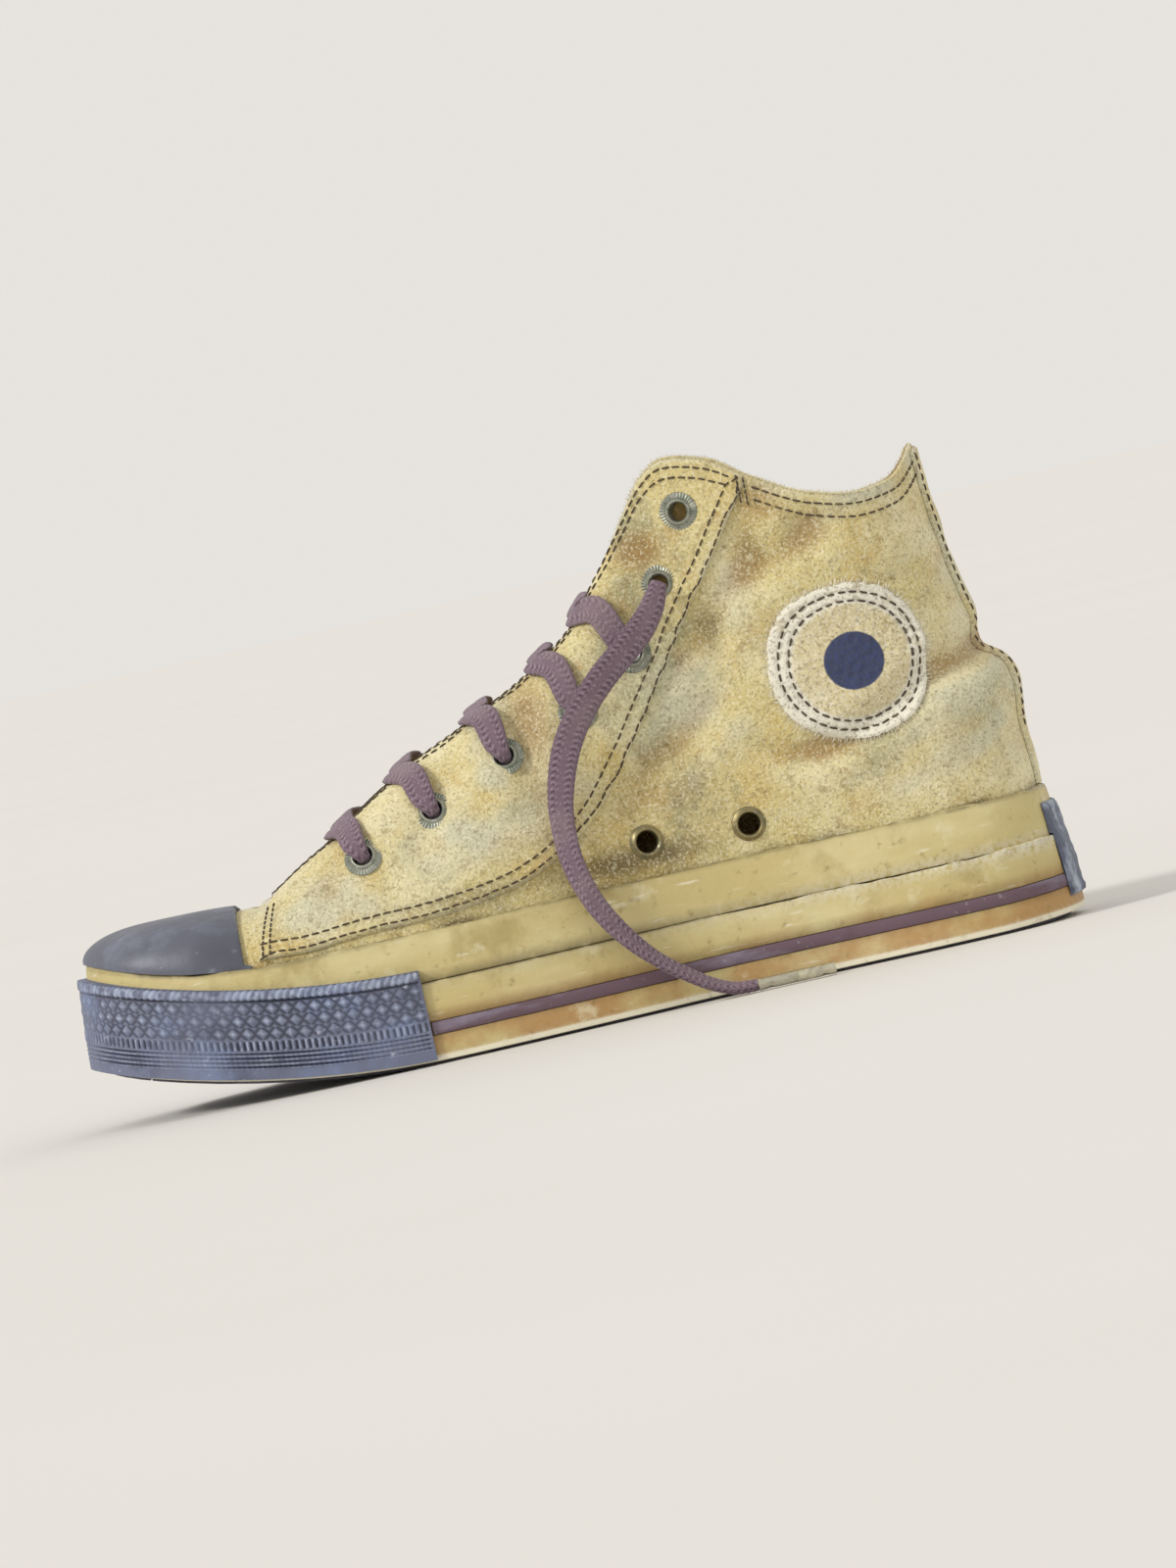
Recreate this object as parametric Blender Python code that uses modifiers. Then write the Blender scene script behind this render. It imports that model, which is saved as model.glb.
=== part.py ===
"""A worn right high-top sneaker, built as a shoemaker would put it together.

The toe points to -X, the heel to +X, the medial (inner) side faces -Y and +Z is up.
The shoe stands on z = 0, with the origin under the centre of its length and width.
All sizes are in metres.
"""

import math

import bmesh
import bpy
import numpy as np
from mathutils import Vector

MM = 0.001

# Driving sizes of the shoe
LENGTH = 300 * MM
BALL_WIDTH = 104 * MM
SHAFT_HEIGHT = 157.5 * MM
COLLAR_WIDTH = 56 * MM
THROAT_WIDTH = 29 * MM
TOE_BOX_HEIGHT = 55 * MM
TOE_SPRING = 18 * MM
HEEL_BEVEL = 1.2 * MM
GAP = 0.3 * MM
OVERLAY_LIFT = 0.75 * MM
SEAT_GAP = 0.9 * MM
WALL_TUCK = 1.6 * MM

# Walls and layers
UPPER_WALL = 2.0 * MM
OVERLAY_THICKNESS = 1.1 * MM
BACKSTAY_THICKNESS = 0.9 * MM
SIDEWALL_THICKNESS = 4.2 * MM
STRIP_STEP = 1.1 * MM
SIDEWALL_LEAN = 1.6 * MM
OUTSOLE_STEP = 1.0 * MM
TREAD_DEPTH = 1.5 * MM
TREAD_GROOVE = 2.2 * MM
FLOOR_TOP = 9.0 * MM
INSOLE_THICKNESS = 3.0 * MM
INSOLE_CLEARANCE = 0.9 * MM
TONGUE_THICKNESS = 2.6 * MM
TONGUE_CLEARANCE = 1.5 * MM
TONGUE_SINK = 1.6 * MM
TONGUE_WING = 0.8
TONGUE_TOP = 0.39
TONGUE_FRONT = 0.83
BUMPER_THICKNESS = 1.8 * MM
LABEL_THICKNESS = 1.3 * MM
TOE_CAP_THICKNESS = 1.6 * MM
PATCH_THICKNESS = 1.4 * MM

# Heights up the side of the sole, above the sidewall's lower edge
LOWER_BAND_TOP = 7.6 * MM
PINSTRIPE_WIDTH = 3.9 * MM
PINSTRIPE_DEPTH = 0.9 * MM
PINSTRIPE_PROUD = 0.35 * MM
MAIN_BAND_TOP = 23.0 * MM
FOXING_TOP = 38.0 * MM
FOXING_TOP_AT_TOE = 31.0 * MM
BUMPER_BOTTOM = 0.6 * MM
BUMPER_TOP = 27.0 * MM
LABEL_BOTTOM = 4.5 * MM
LABEL_TOP = 33.0 * MM
LABEL_WIDTH = 36 * MM

# Lengths along the shoe, measured from the tip of the toe
BUMPER_LENGTH = 103 * MM
TOE_CAP_LENGTH = 53 * MM

# Hardware and laces
EYELET_RADIUS = 5.8 * MM
EYELET_HOLE = 2.7 * MM
EYELET_BARREL = 3.3 * MM
EYELET_PROUD = 1.1 * MM
EYELET_LIFT = 1.5 * MM
VENT_RADIUS = 5.0 * MM
PATCH_RADIUS = 23 * MM
LACE_WIDTH = 8.5 * MM
LACE_THICKNESS = 2.0 * MM
LACE_ARCH = 3.0 * MM
LACE_CLEARANCE = 1.1 * MM
LACE_EDGE_CLEARANCE = 2.6 * MM
CORD_RADIUS = 1.9 * MM
CORD_SPACING = 8 * MM
AGLET_RADIUS = 1.7 * MM
AGLET_LENGTH = 23 * MM

SIDE_COLUMNS = 28
COLUMN_CLUSTER = 0.35
FINE = 600
EYELET_SIDES = 10

# Plan outline of the sidewall from the heel along the medial side to the toe: shares of the
# half length and of the half ball width
OUTLINE_MEDIAL = [
    (1.000, 0.03),
    (0.962, -0.36),
    (0.860, -0.58),
    (0.700, -0.66),
    (0.480, -0.64),
    (0.280, -0.665),
    (0.050, -0.83),
    (-0.200, -0.975),
    (-0.400, -1.000),
    (-0.620, -0.955),
    (-0.800, -0.84),
    (-0.930, -0.60),
    (-1.000, -0.17),
]
# The same from the toe back along the lateral side
OUTLINE_LATERAL = [
    (-0.955, 0.22),
    (-0.840, 0.52),
    (-0.670, 0.76),
    (-0.450, 0.93),
    (-0.220, 1.000),
    (0.020, 0.965),
    (0.260, 0.875),
    (0.500, 0.785),
    (0.720, 0.745),
    (0.880, 0.62),
    (0.970, 0.37),
]

# Top edge of the upper, from the back of the collar to the front of the throat:
# place round the side, x as a share of the half length, half opening as a share of its named
# width, and height as a share of the shaft's height
COLLAR_EDGE = [
    (0.00, 0.851, 0.00, 0.927),
    (0.05, 0.830, 0.34, 0.899),
    (0.10, 0.790, 0.64, 0.870),
    (0.16, 0.720, 0.88, 0.861),
    (0.22, 0.627, 1.00, 0.880),
    (0.28, 0.520, 0.96, 0.934),
    (0.32, 0.440, 0.84, 0.984),
    (0.36, 0.362, 0.70, 1.000),
]
# The throat's height is a share of the rise from the toe box to the top of the shaft
THROAT_EDGE = [
    (0.39, 0.312, 1.20, 0.960),
    (0.43, 0.266, 1.16, 0.868),
    (0.48, 0.207, 1.10, 0.737),
    (0.53, 0.140, 1.04, 0.605),
    (0.58, 0.040, 1.00, 0.493),
    (0.63, -0.093, 0.97, 0.390),
    (0.67, -0.227, 0.96, 0.307),
    (0.71, -0.347, 0.94, 0.205),
    (0.75, -0.467, 0.90, 0.098),
    (0.80, -0.560, 0.80, 0.018),
    (0.86, -0.603, 0.54, -0.002),
    (0.93, -0.618, 0.27, 0.000),
    (1.00, -0.622, 0.00, 0.000),
]
# How far the heel and ankle wall has moved in, by height, and how full the front is
REAR_INSET = [
    (0.00, 0.00),
    (0.25, 0.00),
    (0.33, 0.02),
    (0.45, 0.11),
    (0.54, 0.36),
    (0.60, 0.56),
    (0.78, 0.80),
    (0.93, 0.95),
    (1.00, 1.00),
]
FULLNESS = [
    (0.30, 1.35),
    (0.45, 1.40),
    (0.55, 1.55),
    (0.63, 1.80),
    (0.72, 2.25),
    (0.80, 2.80),
    (0.90, 3.3),
    (1.00, 3.4),
]
# Share of a quarter turn at which the wall meets its top edge, so it doesn't roll over there
EDGE_TURN = 0.88
# How far the wall is tucked in behind the strip of foxing, by share of its height
TUCK = [(0.00, 0.0), (0.20, 1.0), (0.45, 0.8), (1.00, 0.0)]
# The foot's middle line lies towards the big toe at the front
MIDDLE_LINE = [(-1.0, -0.16), (-0.62, -0.13), (-0.33, -0.06), (0.0, 0.0), (1.0, 0.0)]

# Lower edge of the eyestay: place round the side, and share of the wall's height reached
EYESTAY_EDGE = [
    (0.285, 0.985),
    (0.33, 0.78),
    (0.40, 0.55),
    (0.48, 0.39),
    (0.56, 0.32),
    (0.64, 0.30),
    (0.72, 0.31),
    (0.785, 0.36),
]
# Lace eyelets from the top down: shares of the half length and of the shaft's height
EYELETS = [
    (0.375, 0.900),
    (0.305, 0.776),
    (0.222, 0.660),
    (0.095, 0.576),
    (-0.062, 0.522),
    (-0.222, 0.456),
    (-0.372, 0.398),
]
VENTS = [(0.172, 0.314), (0.375, 0.305)]
PATCH_CENTRE = (0.645, 0.560)
LACED = [2, 3, 4, 5, 6]

# Routes of the two loose lace ends, in millimetres: out of the second eyelet, down over the
# quarter and the foxing, and along the floor towards the heel
MEDIAL_END = [
    (45.6, -26.8, 122.6),
    (42.8, -30.2, 117.2),
    (38.6, -32.6, 111.8),
    (32.0, -34.4, 106.0),
    (24.6, -35.2, 100.2),
    (18.0, -35.8, 94.0),
    (12.4, -36.4, 87.2),
    (8.2, -37.1, 80.0),
    (5.4, -37.4, 72.5),
    (3.6, -37.8, 65.0),
    (3.0, -38.8, 57.5),
    (3.4, -41.0, 50.0),
    (5.0, -43.2, 42.5),
    (8.0, -44.2, 34.5),
    (13.0, -44.4, 26.0),
    (20.0, -44.2, 17.5),
    (28.5, -43.8, 10.2),
    (36.5, -43.3, 4.9),
    (42.5, -42.8, 2.6),
    (48.5, -42.3, 2.2),
]
LATERAL_END = [
    (45.2, 29.9, 123.0),
    (46.0, 30.2, 117.0),
    (46.4, 30.8, 110.5),
    (46.3, 32.0, 104.0),
    (45.6, 33.9, 97.0),
    (44.4, 36.6, 89.0),
    (42.9, 39.0, 81.0),
    (41.3, 40.5, 72.5),
    (40.0, 41.4, 64.0),
    (39.2, 42.4, 56.0),
    (39.2, 44.2, 48.5),
    (39.9, 46.4, 41.0),
    (41.2, 47.9, 33.0),
    (43.4, 48.6, 25.0),
    (46.8, 48.8, 17.0),
    (52.0, 48.8, 10.4),
    (59.0, 48.4, 5.6),
    (67.5, 47.8, 2.9),
    (76.0, 47.2, 2.2),
    (84.5, 46.6, 2.2),
    (92.0, 46.0, 2.2),
]
AGLET_HEADING = {-1: (23.0, 1.6, 0.0), 1: (22.9, -1.9, 0.0)}


def clear_scene():
    for old in list(bpy.data.objects):
        bpy.data.objects.remove(old)


def new_collection(name):
    collection = bpy.data.collections.new(name)
    bpy.context.scene.collection.children.link(collection)
    return collection


def hex_colour(code):
    """Linear colour from an sRGB hex code."""
    channels = [int(code[k : k + 2], 16) / 255 for k in (0, 2, 4)]
    linear = [c / 12.92 if c <= 0.04045 else ((c + 0.055) / 1.055) ** 2.4 for c in channels]
    return (*linear, 1.0)


def new_material(name, code, roughness, metallic=0.0):
    material = bpy.data.materials.new(name)
    material.use_nodes = True
    shader = material.node_tree.nodes["Principled BSDF"]
    shader.inputs["Base Color"].default_value = hex_colour(code)
    shader.inputs["Roughness"].default_value = roughness
    shader.inputs["Metallic"].default_value = metallic
    material.diffuse_color = hex_colour(code)
    return material


def mesh_object(name, points, faces, material, collection, smooth=True):
    mesh = bpy.data.meshes.new(name)
    mesh.from_pydata([tuple(map(float, p)) for p in points], [], faces)
    shape = bmesh.new()
    shape.from_mesh(mesh)
    bmesh.ops.remove_doubles(shape, verts=shape.verts, dist=0.00001)
    bmesh.ops.recalc_face_normals(shape, faces=shape.faces)
    shape.to_mesh(mesh)
    shape.free()
    if smooth:
        mesh.shade_smooth()
        mesh.set_sharp_from_angle(angle=math.radians(40))
    if material:
        mesh.materials.append(material)
    made = bpy.data.objects.new(name, mesh)
    collection.objects.link(made)
    return made


def cut(target, cutter, operation="DIFFERENCE", use_self=False):
    change = target.modifiers.new("cut by " + cutter.name, "BOOLEAN")
    change.operation = operation
    change.object = cutter
    change.solver = "EXACT"
    change.use_self = use_self
    cutter.hide_render = True
    cutter.display_type = "WIRE"


def pchip(table, x):
    """Monotone cubic through hand-chosen (place, value) pairs."""
    knots, values = np.array(table, float).T
    x = np.clip(np.asarray(x, float), knots[0], knots[-1])
    step = np.diff(knots)
    slope = np.diff(values) / step
    tangent = np.zeros(len(knots))
    tangent[0] = slope[0]
    tangent[-1] = slope[-1]
    for k in range(1, len(knots) - 1):
        if slope[k - 1] * slope[k] > 0:
            before = 2 * step[k] + step[k - 1]
            after = step[k] + 2 * step[k - 1]
            tangent[k] = (before + after) / (before / slope[k - 1] + after / slope[k])
    cell = np.clip(np.searchsorted(knots, x, side="right") - 1, 0, len(step) - 1)
    u = (x - knots[cell]) / step[cell]
    return (
        (2 * u**3 - 3 * u**2 + 1) * values[cell]
        + (u**3 - 2 * u**2 + u) * step[cell] * tangent[cell]
        + (-2 * u**3 + 3 * u**2) * values[cell + 1]
        + (u**3 - u**2) * step[cell] * tangent[cell + 1]
    )


def resample(line, count):
    """Evenly spaced points along a polyline."""
    gaps = np.linalg.norm(np.diff(line, axis=0), axis=1)
    length = np.concatenate([[0], np.cumsum(gaps)])
    wanted = np.linspace(0, length[-1], count)
    return np.stack([np.interp(wanted, length, line[:, k]) for k in range(line.shape[1])], 1)


def smooth_curve(points, steps=24, closed=False):
    """A smooth curve through the given points, as a fine polyline."""
    points = np.asarray(points, float)
    if closed:
        points = np.vstack([points[-2:], points, points[:3]])
    chord = np.linalg.norm(np.diff(points, axis=0), axis=1)
    knots = np.concatenate([[0], np.cumsum(np.sqrt(chord))])
    tangent = np.gradient(points, knots, axis=0)
    first, last = (2, len(points) - 3) if closed else (0, len(points) - 1)
    share = np.linspace(0, 1, steps, endpoint=False)[:, None]
    fine = []
    for k in range(first, last):
        width = knots[k + 1] - knots[k]
        fine.append(
            (2 * share**3 - 3 * share**2 + 1) * points[k]
            + (share**3 - 2 * share**2 + share) * width * tangent[k]
            + (-2 * share**3 + 3 * share**2) * points[k + 1]
            + (share**3 - share**2) * width * tangent[k + 1]
        )
    return np.vstack([*fine, points[last : last + 1]])


def plan_outline():
    """Fine closed outline: FINE steps from the heel to the toe, and FINE back again.

    With the toe bumper and the heel label on it, its box is centred on the origin.
    """
    half = [
        (LENGTH - BUMPER_THICKNESS - LABEL_THICKNESS - 2 * GAP) / 2,
        BALL_WIDTH / 2 - BUMPER_THICKNESS - GAP,
    ]
    ring = smooth_curve(np.array(OUTLINE_MEDIAL + OUTLINE_LATERAL) * half, closed=True)
    toe = int(np.argmin(ring[:, 0]))
    medial = resample(ring[: toe + 1], FINE + 1)
    lateral = resample(ring[toe:], FINE + 1)
    ring = np.vstack([medial[:-1], lateral[:-1]])
    tangent = np.roll(ring, -3, axis=0) - np.roll(ring, 3, axis=0)
    normal = np.stack([-tangent[:, 1], tangent[:, 0]], 1)
    normal /= np.linalg.norm(normal, axis=1)[:, None]
    if ((ring - ring.mean(axis=0)) * normal).sum() < 0:
        normal = -normal
    bumper_end = ring[:, 0].min() - BUMPER_THICKNESS - GAP + BUMPER_LENGTH
    proud = np.where(ring[:, 0] < bumper_end, BUMPER_THICKNESS + GAP, 0)[:, None]
    proud[0] = LABEL_THICKNESS + GAP
    outer = ring + normal * proud
    middle = (outer.min(axis=0) + outer.max(axis=0)) / 2
    return ring - middle, normal


RING, RING_NORMAL = plan_outline()
TOE_TIP = RING[:, 0].min() - BUMPER_THICKNESS - GAP
BALL_START = -0.15 * LENGTH


def ring_at(side, place):
    """Plan point and outward normal; side -1 is medial, 1 lateral; place 0 heel, 1 toe."""
    along = np.clip(place, 0, 1) * FINE
    if side > 0:
        along = 2 * FINE - along
    low = int(math.floor(along))
    share = along - low
    a, b = low % (2 * FINE), (low + 1) % (2 * FINE)
    point = RING[a] * (1 - share) + RING[b] * share
    normal = RING_NORMAL[a] * (1 - share) + RING_NORMAL[b] * share
    return point, normal / np.linalg.norm(normal)


def rise(x):
    """Height of the tread's lower face: flat at heel and ball, up at the toe."""
    front = max(0.0, (BALL_START - x) / (BALL_START + LENGTH / 2))
    heel_start = 0.40 * LENGTH
    back = max(0.0, (x - heel_start) / (LENGTH / 2 - heel_start))
    return TOE_SPRING * front**1.8 + HEEL_BEVEL * back**2


def top_edge(side, place):
    """Point of the upper's top edge, round the collar and down the throat."""
    rise_up = SHAFT_HEIGHT - TOE_BOX_HEIGHT
    rows = [
        (u, x * LENGTH / 2, y * COLLAR_WIDTH / 2, z * SHAFT_HEIGHT) for u, x, y, z in COLLAR_EDGE
    ]
    rows += [
        (u, x * LENGTH / 2, y * THROAT_WIDTH / 2, TOE_BOX_HEIGHT + z * rise_up)
        for u, x, y, z in THROAT_EDGE
    ]
    rows = np.array(rows)
    x = float(pchip(rows[:, [0, 1]], place))
    y = float(pchip(rows[:, [0, 2]], place))
    z = float(pchip(rows[:, [0, 3]], place))
    middle = float(pchip(MIDDLE_LINE, x / (LENGTH / 2))) * BALL_WIDTH / 2
    return np.array([x, middle + side * y, z])


def smoothstep(low, high, x):
    share = min(1.0, max(0.0, (x - low) / (high - low)))
    return share * share * (3 - 2 * share)


class Last:
    """The upper's outer surface as a function of side, place round it and height share."""

    def __init__(self):
        self.kept = {}

    def column(self, side, place):
        key = (side, round(place, 6))
        if key not in self.kept:
            point, normal = ring_at(side, place)
            foot = point - normal * (SIDEWALL_THICKNESS + GAP)
            low = rise(point[0]) + FLOOR_TOP + SEAT_GAP
            top = top_edge(side, place)
            front = smoothstep(0.28, 0.52, place)
            full = float(pchip(FULLNESS, place))
            self.kept[key] = (foot, low, top, front, full, normal)
        return self.kept[key]

    def point(self, side, place, share):
        foot, low, top, front, full, normal = self.column(side, place)
        full_turn = EDGE_TURN * math.pi / 2
        angle = share * full_turn
        inset_front = (1 - math.cos(angle) ** (2 / full)) / (1 - math.cos(full_turn) ** (2 / full))
        up_front = (math.sin(angle) / math.sin(full_turn)) ** (2 / full)
        inset = front * inset_front + (1 - front) * float(pchip(REAR_INSET, share))
        up = front * up_front + (1 - front) * share
        tuck = normal * WALL_TUCK * float(pchip(TUCK, share))
        plan = foot + (top[:2] - foot) * inset - tuck
        return np.array([plan[0], plan[1], low + (top[2] - low) * up])

    def normal(self, side, place, share, step=0.01):
        low, high = max(0.0, share - step), min(1.0, share + step)
        if place > 1 - step:
            ahead = self.point(-side, 1 - step, share)
            behind = self.point(side, 1 - step, share)
        elif place < step:
            ahead = self.point(side, step, share)
            behind = self.point(-side, step, share)
        else:
            ahead = self.point(side, place + step, share)
            behind = self.point(side, place - step, share)
        across = ahead - behind
        upward = self.point(side, place, high) - self.point(side, place, low)
        normal = np.cross(across, upward) * side
        return normal / np.linalg.norm(normal)

    def share_at(self, side, place, height):
        """Height share at which the wall reaches a height in z."""
        low, high = 0.0, 1.0
        for _ in range(30):
            middle = (low + high) / 2
            if self.point(side, place, middle)[2] < height:
                low = middle
            else:
                high = middle
        return (low + high) / 2

    def offset(self, side, place, share, distance):
        return self.point(side, place, share) + self.normal(side, place, share) * distance


LAST = Last()


def column_places():
    """Places round one side, closer together at the heel and the toe."""
    even = np.arange(SIDE_COLUMNS + 1) / SIDE_COLUMNS
    return even - COLUMN_CLUSTER * np.sin(2 * math.pi * even) / (2 * math.pi)


def places_between(first, last):
    """The column places between two ends, with the ends themselves."""
    margin = 0.15 / SIDE_COLUMNS
    inside = [u for u in column_places() if first + margin < u < last - margin]
    return [first, *inside, last]


def ring_columns():
    """Every column once round: heel, medial side, toe, lateral side."""
    places = column_places()
    medial = [(-1, u) for u in places]
    lateral = [(1, u) for u in places[-2:0:-1]]
    return medial + lateral


def columns_between(medial_from, lateral_from, through_toe=True):
    """Columns from a place on the medial side through the toe (or heel) to the lateral side."""
    places = column_places()
    margin = 0.1 / SIDE_COLUMNS
    if through_toe:
        medial = [medial_from] + [u for u in places if u > medial_from + margin]
        lateral = [u for u in places[-2::-1] if u > lateral_from + margin] + [lateral_from]
    else:
        medial = [medial_from] + [u for u in places[::-1] if u < medial_from - margin]
        lateral = [u for u in places[1:] if u < lateral_from - margin] + [lateral_from]
    return [(-1, u) for u in medial] + [(1, u) for u in lateral]


def place_at_x(side, x, front=True):
    """Place round the side where the outline passes a given x."""
    places = np.linspace(0.12, 1.0, 800) if front else np.linspace(0, 0.4, 800)
    xs = np.array([ring_at(side, u)[0][0] for u in places])
    return float(places[int(np.argmin(np.abs(xs - x)))])


def lean(height):
    return -SIDEWALL_LEAN * (max(height, 0) / MAIN_BAND_TOP) ** 1.2


def wall_point(side, place, height, proud=0.0):
    """Point on the sidewall's outer face at a height above its lower edge."""
    point, normal = ring_at(side, place)
    plan = point + normal * (lean(height) + proud)
    return np.array([*plan, rise(point[0]) + OUTSOLE_STEP + height])


def inner_point(side, place, height):
    """Point just outside the upper, or outside the outsole where that is lower."""
    point, normal = ring_at(side, place)
    z = rise(point[0]) + OUTSOLE_STEP + height
    low = LAST.column(side, place)[1]
    if z <= low:
        plan = point - normal * SIDEWALL_THICKNESS
    else:
        plan = LAST.point(side, place, LAST.share_at(side, place, z))[:2] + normal * 1.7 * GAP
    return np.array([*plan, z])


def sweep(name, columns, section, closed, material, collection):
    """A band whose closed section, a function of side and place, runs along the columns."""
    loops = [section(side, place) for side, place in columns]
    size = len(loops[0])
    points = [p for loop in loops for p in loop]
    faces = []
    spans = len(loops) if closed else len(loops) - 1
    for k in range(spans):
        a, b = k * size, ((k + 1) % len(loops)) * size
        for j in range(size):
            n = (j + 1) % size
            faces.append((a + j, a + n, b + n, b + j))
    if not closed:
        faces.append(tuple(range(size)))
        faces.append(tuple((len(loops) - 1) * size + j for j in range(size)))
    return mesh_object(name, points, faces, material, collection)


def foxing_top(side, place):
    """The upper strip is lower round the toe."""
    x = ring_at(side, place)[0][0]
    toe = smoothstep(0.13 * LENGTH, 0.42 * LENGTH, -x)
    return FOXING_TOP + (FOXING_TOP_AT_TOE - FOXING_TOP) * toe


def grid_faces(rows, columns, closed=False):
    faces = []
    for r in range(rows - 1):
        for c in range(columns if closed else columns - 1):
            n = (c + 1) % columns
            faces.append((r * columns + c, r * columns + n, (r + 1) * columns + n, (r + 1) * columns + c))
    return faces


def shell_patch(name, columns, shares, distance, thickness, material, collection):
    """A solid lying on the upper between two edges, made from the upper's own function."""
    count = len(shares(*columns[0]))
    low = [LAST.offset(s, u, t, distance) for s, u in columns for t in shares(s, u)]
    high = [LAST.offset(s, u, t, distance + thickness) for s, u in columns for t in shares(s, u)]
    points = low + high
    rows = len(columns)
    faces = grid_faces(rows, count)
    half = rows * count
    faces += [tuple(half + v for v in reversed(face)) for face in grid_faces(rows, count)]
    edge = [c for c in range(count)]
    edge += [r * count + count - 1 for r in range(1, rows)]
    edge += [(rows - 1) * count + c for c in range(count - 2, -1, -1)]
    edge += [r * count for r in range(rows - 2, 0, -1)]
    for k, a in enumerate(edge):
        b = edge[(k + 1) % len(edge)]
        faces.append((a, b, half + b, half + a))
    return mesh_object(name, points, faces, material, collection)


WALL_ROWS = [0.16, 0.32, 0.47, 0.60, 0.72, 0.82, 0.91, 1.0]


def foxing_heights(side, place):
    """Heights above the sidewall's lower edge at which the foxing and the upper share a row."""
    top = foxing_top(side, place)
    return [MAIN_BAND_TOP, (MAIN_BAND_TOP + top) / 2, top]


def wall_shares(side, place):
    """Rows of the upper: on the floor, behind the foxing, then evenly up to the edge."""
    base = rise(ring_at(side, place)[0][0]) + OUTSOLE_STEP
    low = [LAST.share_at(side, place, base + h) for h in foxing_heights(side, place)]
    return [0.0] + low + [low[-1] + (1 - low[-1]) * k for k in WALL_ROWS]


def build_upper(material, collection):
    columns = ring_columns()
    shares = [wall_shares(s, u) for s, u in columns]
    rows = len(shares[0])
    points = [
        LAST.point(s, u, shares[k][r]) for r in range(rows) for k, (s, u) in enumerate(columns)
    ]
    faces = grid_faces(rows, len(columns), closed=True)
    upper = mesh_object("upper", points, faces, material, collection)
    centre = Vector((0.0, 0.0, TOE_BOX_HEIGHT / 2))
    flipped = sum(
        (face.center - centre).dot(face.normal) * face.area for face in upper.data.polygons
    )
    if flipped < 0:
        upper.data.flip_normals()
    wall = upper.modifiers.new("wall", "SOLIDIFY")
    wall.thickness = UPPER_WALL
    wall.offset = -1
    return upper


def build_outsole(material, collection, cutters):
    places = column_places()
    inset = SIDEWALL_THICKNESS + GAP
    across = [0.0, 0.5, 1.0]
    points = []
    for top in (0, 1):
        for u in places:
            sides = []
            for side in (-1, 1):
                point, normal = ring_at(side, u)
                sides.append(point - normal * inset)
            for share in across:
                plan = sides[0] * (1 - share) + sides[1] * share
                points.append((*plan, rise(plan[0]) + top * FLOOR_TOP))
    rows, count = len(places), len(across)
    half = rows * count
    faces = grid_faces(rows, count)
    faces += [tuple(half + v for v in reversed(f)) for f in grid_faces(rows, count)]
    for r in range(rows - 1):
        for c in (0, count - 1):
            a, b = r * count + c, (r + 1) * count + c
            faces.append((a, b, half + b, half + a))
    outsole = mesh_object("outsole", points, faces, material, collection)
    grooves = build_grooves(cutters)
    cut(outsole, grooves, use_self=True)
    return outsole


def ribbon(points, width, tall, deep):
    """Corner points of a groove cutter that follows the tread along a plan line."""
    line = np.asarray(points, float)
    tangent = np.gradient(line, axis=0)
    tangent /= np.linalg.norm(tangent, axis=1)[:, None]
    normal = np.stack([-tangent[:, 1], tangent[:, 0]], 1) * width / 2
    loops = []
    for p, n in zip(line, normal):
        for plan, z in ((p - n, -deep), (p + n, -deep), (p + n, tall), (p - n, tall)):
            loops.append((*plan, rise(plan[0]) + z))
    return loops


def build_grooves(cutters):
    """Grooves that leave the main lugs: blocks at the toe, diamonds at the ball, bars at the heel."""
    half_length, half_width = LENGTH / 2, BALL_WIDTH / 2
    lines = []
    for x in (0.60, 0.69, 0.78, 0.87):
        lines.append([(x, -0.36), (x, 0.0), (x, 0.44)])
    for k in range(5):
        start = -0.02 - 0.13 * k
        lines.append([(start, -0.62), (start - 0.18, 0.0), (start - 0.36, 0.62)])
    for k in range(4):
        start = -0.40 + 0.13 * k
        lines.append([(start, -0.62), (start + 0.18, 0.0), (start + 0.30, 0.52)])
    for y in (-0.42, -0.14, 0.14):
        lines.append([(-0.70, y), (-0.80, y - 0.03), (-0.90, y - 0.05)])
    for x in (-0.70, -0.785, -0.87):
        lines.append([(x, -0.56), (x, -0.14), (x, 0.28)])
    points, faces = [], []
    for line in lines:
        fine = resample(np.array(line) * [half_length, half_width], 5)
        base = len(points)
        loops = ribbon(fine, TREAD_GROOVE, TREAD_DEPTH, TREAD_DEPTH)
        points += loops
        count = len(fine)
        for k in range(count - 1):
            for j in range(4):
                n = (j + 1) % 4
                a, b = base + k * 4, base + (k + 1) * 4
                faces.append((a + j, a + n, b + n, b + j))
        faces.append(tuple(base + j for j in range(4)))
        faces.append(tuple(base + (count - 1) * 4 + j for j in (3, 2, 1, 0)))
    cutter = mesh_object("tread_grooves", points, faces, None, cutters, smooth=False)
    return cutter


def build_insole(material, collection):
    places = column_places()
    inset = SIDEWALL_THICKNESS + GAP + UPPER_WALL + INSOLE_CLEARANCE
    points = []
    across = [0.0, 0.5, 1.0]
    for top in (0, 1):
        for u in places:
            sides = [ring_at(side, u)[0] - ring_at(side, u)[1] * inset for side in (-1, 1)]
            for share in across:
                plan = sides[0] * (1 - share) + sides[1] * share
                z = rise(plan[0]) + FLOOR_TOP + GAP + top * INSOLE_THICKNESS
                points.append((*plan, z))
    rows, count = len(places), len(across)
    half = rows * count
    faces = grid_faces(rows, count)
    faces += [tuple(half + v for v in reversed(f)) for f in grid_faces(rows, count)]
    for r in range(rows - 1):
        for c in (0, count - 1):
            a, b = r * count + c, (r + 1) * count + c
            faces.append((a, b, half + b, half + a))
    return mesh_object("insole", points, faces, material, collection)


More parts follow.
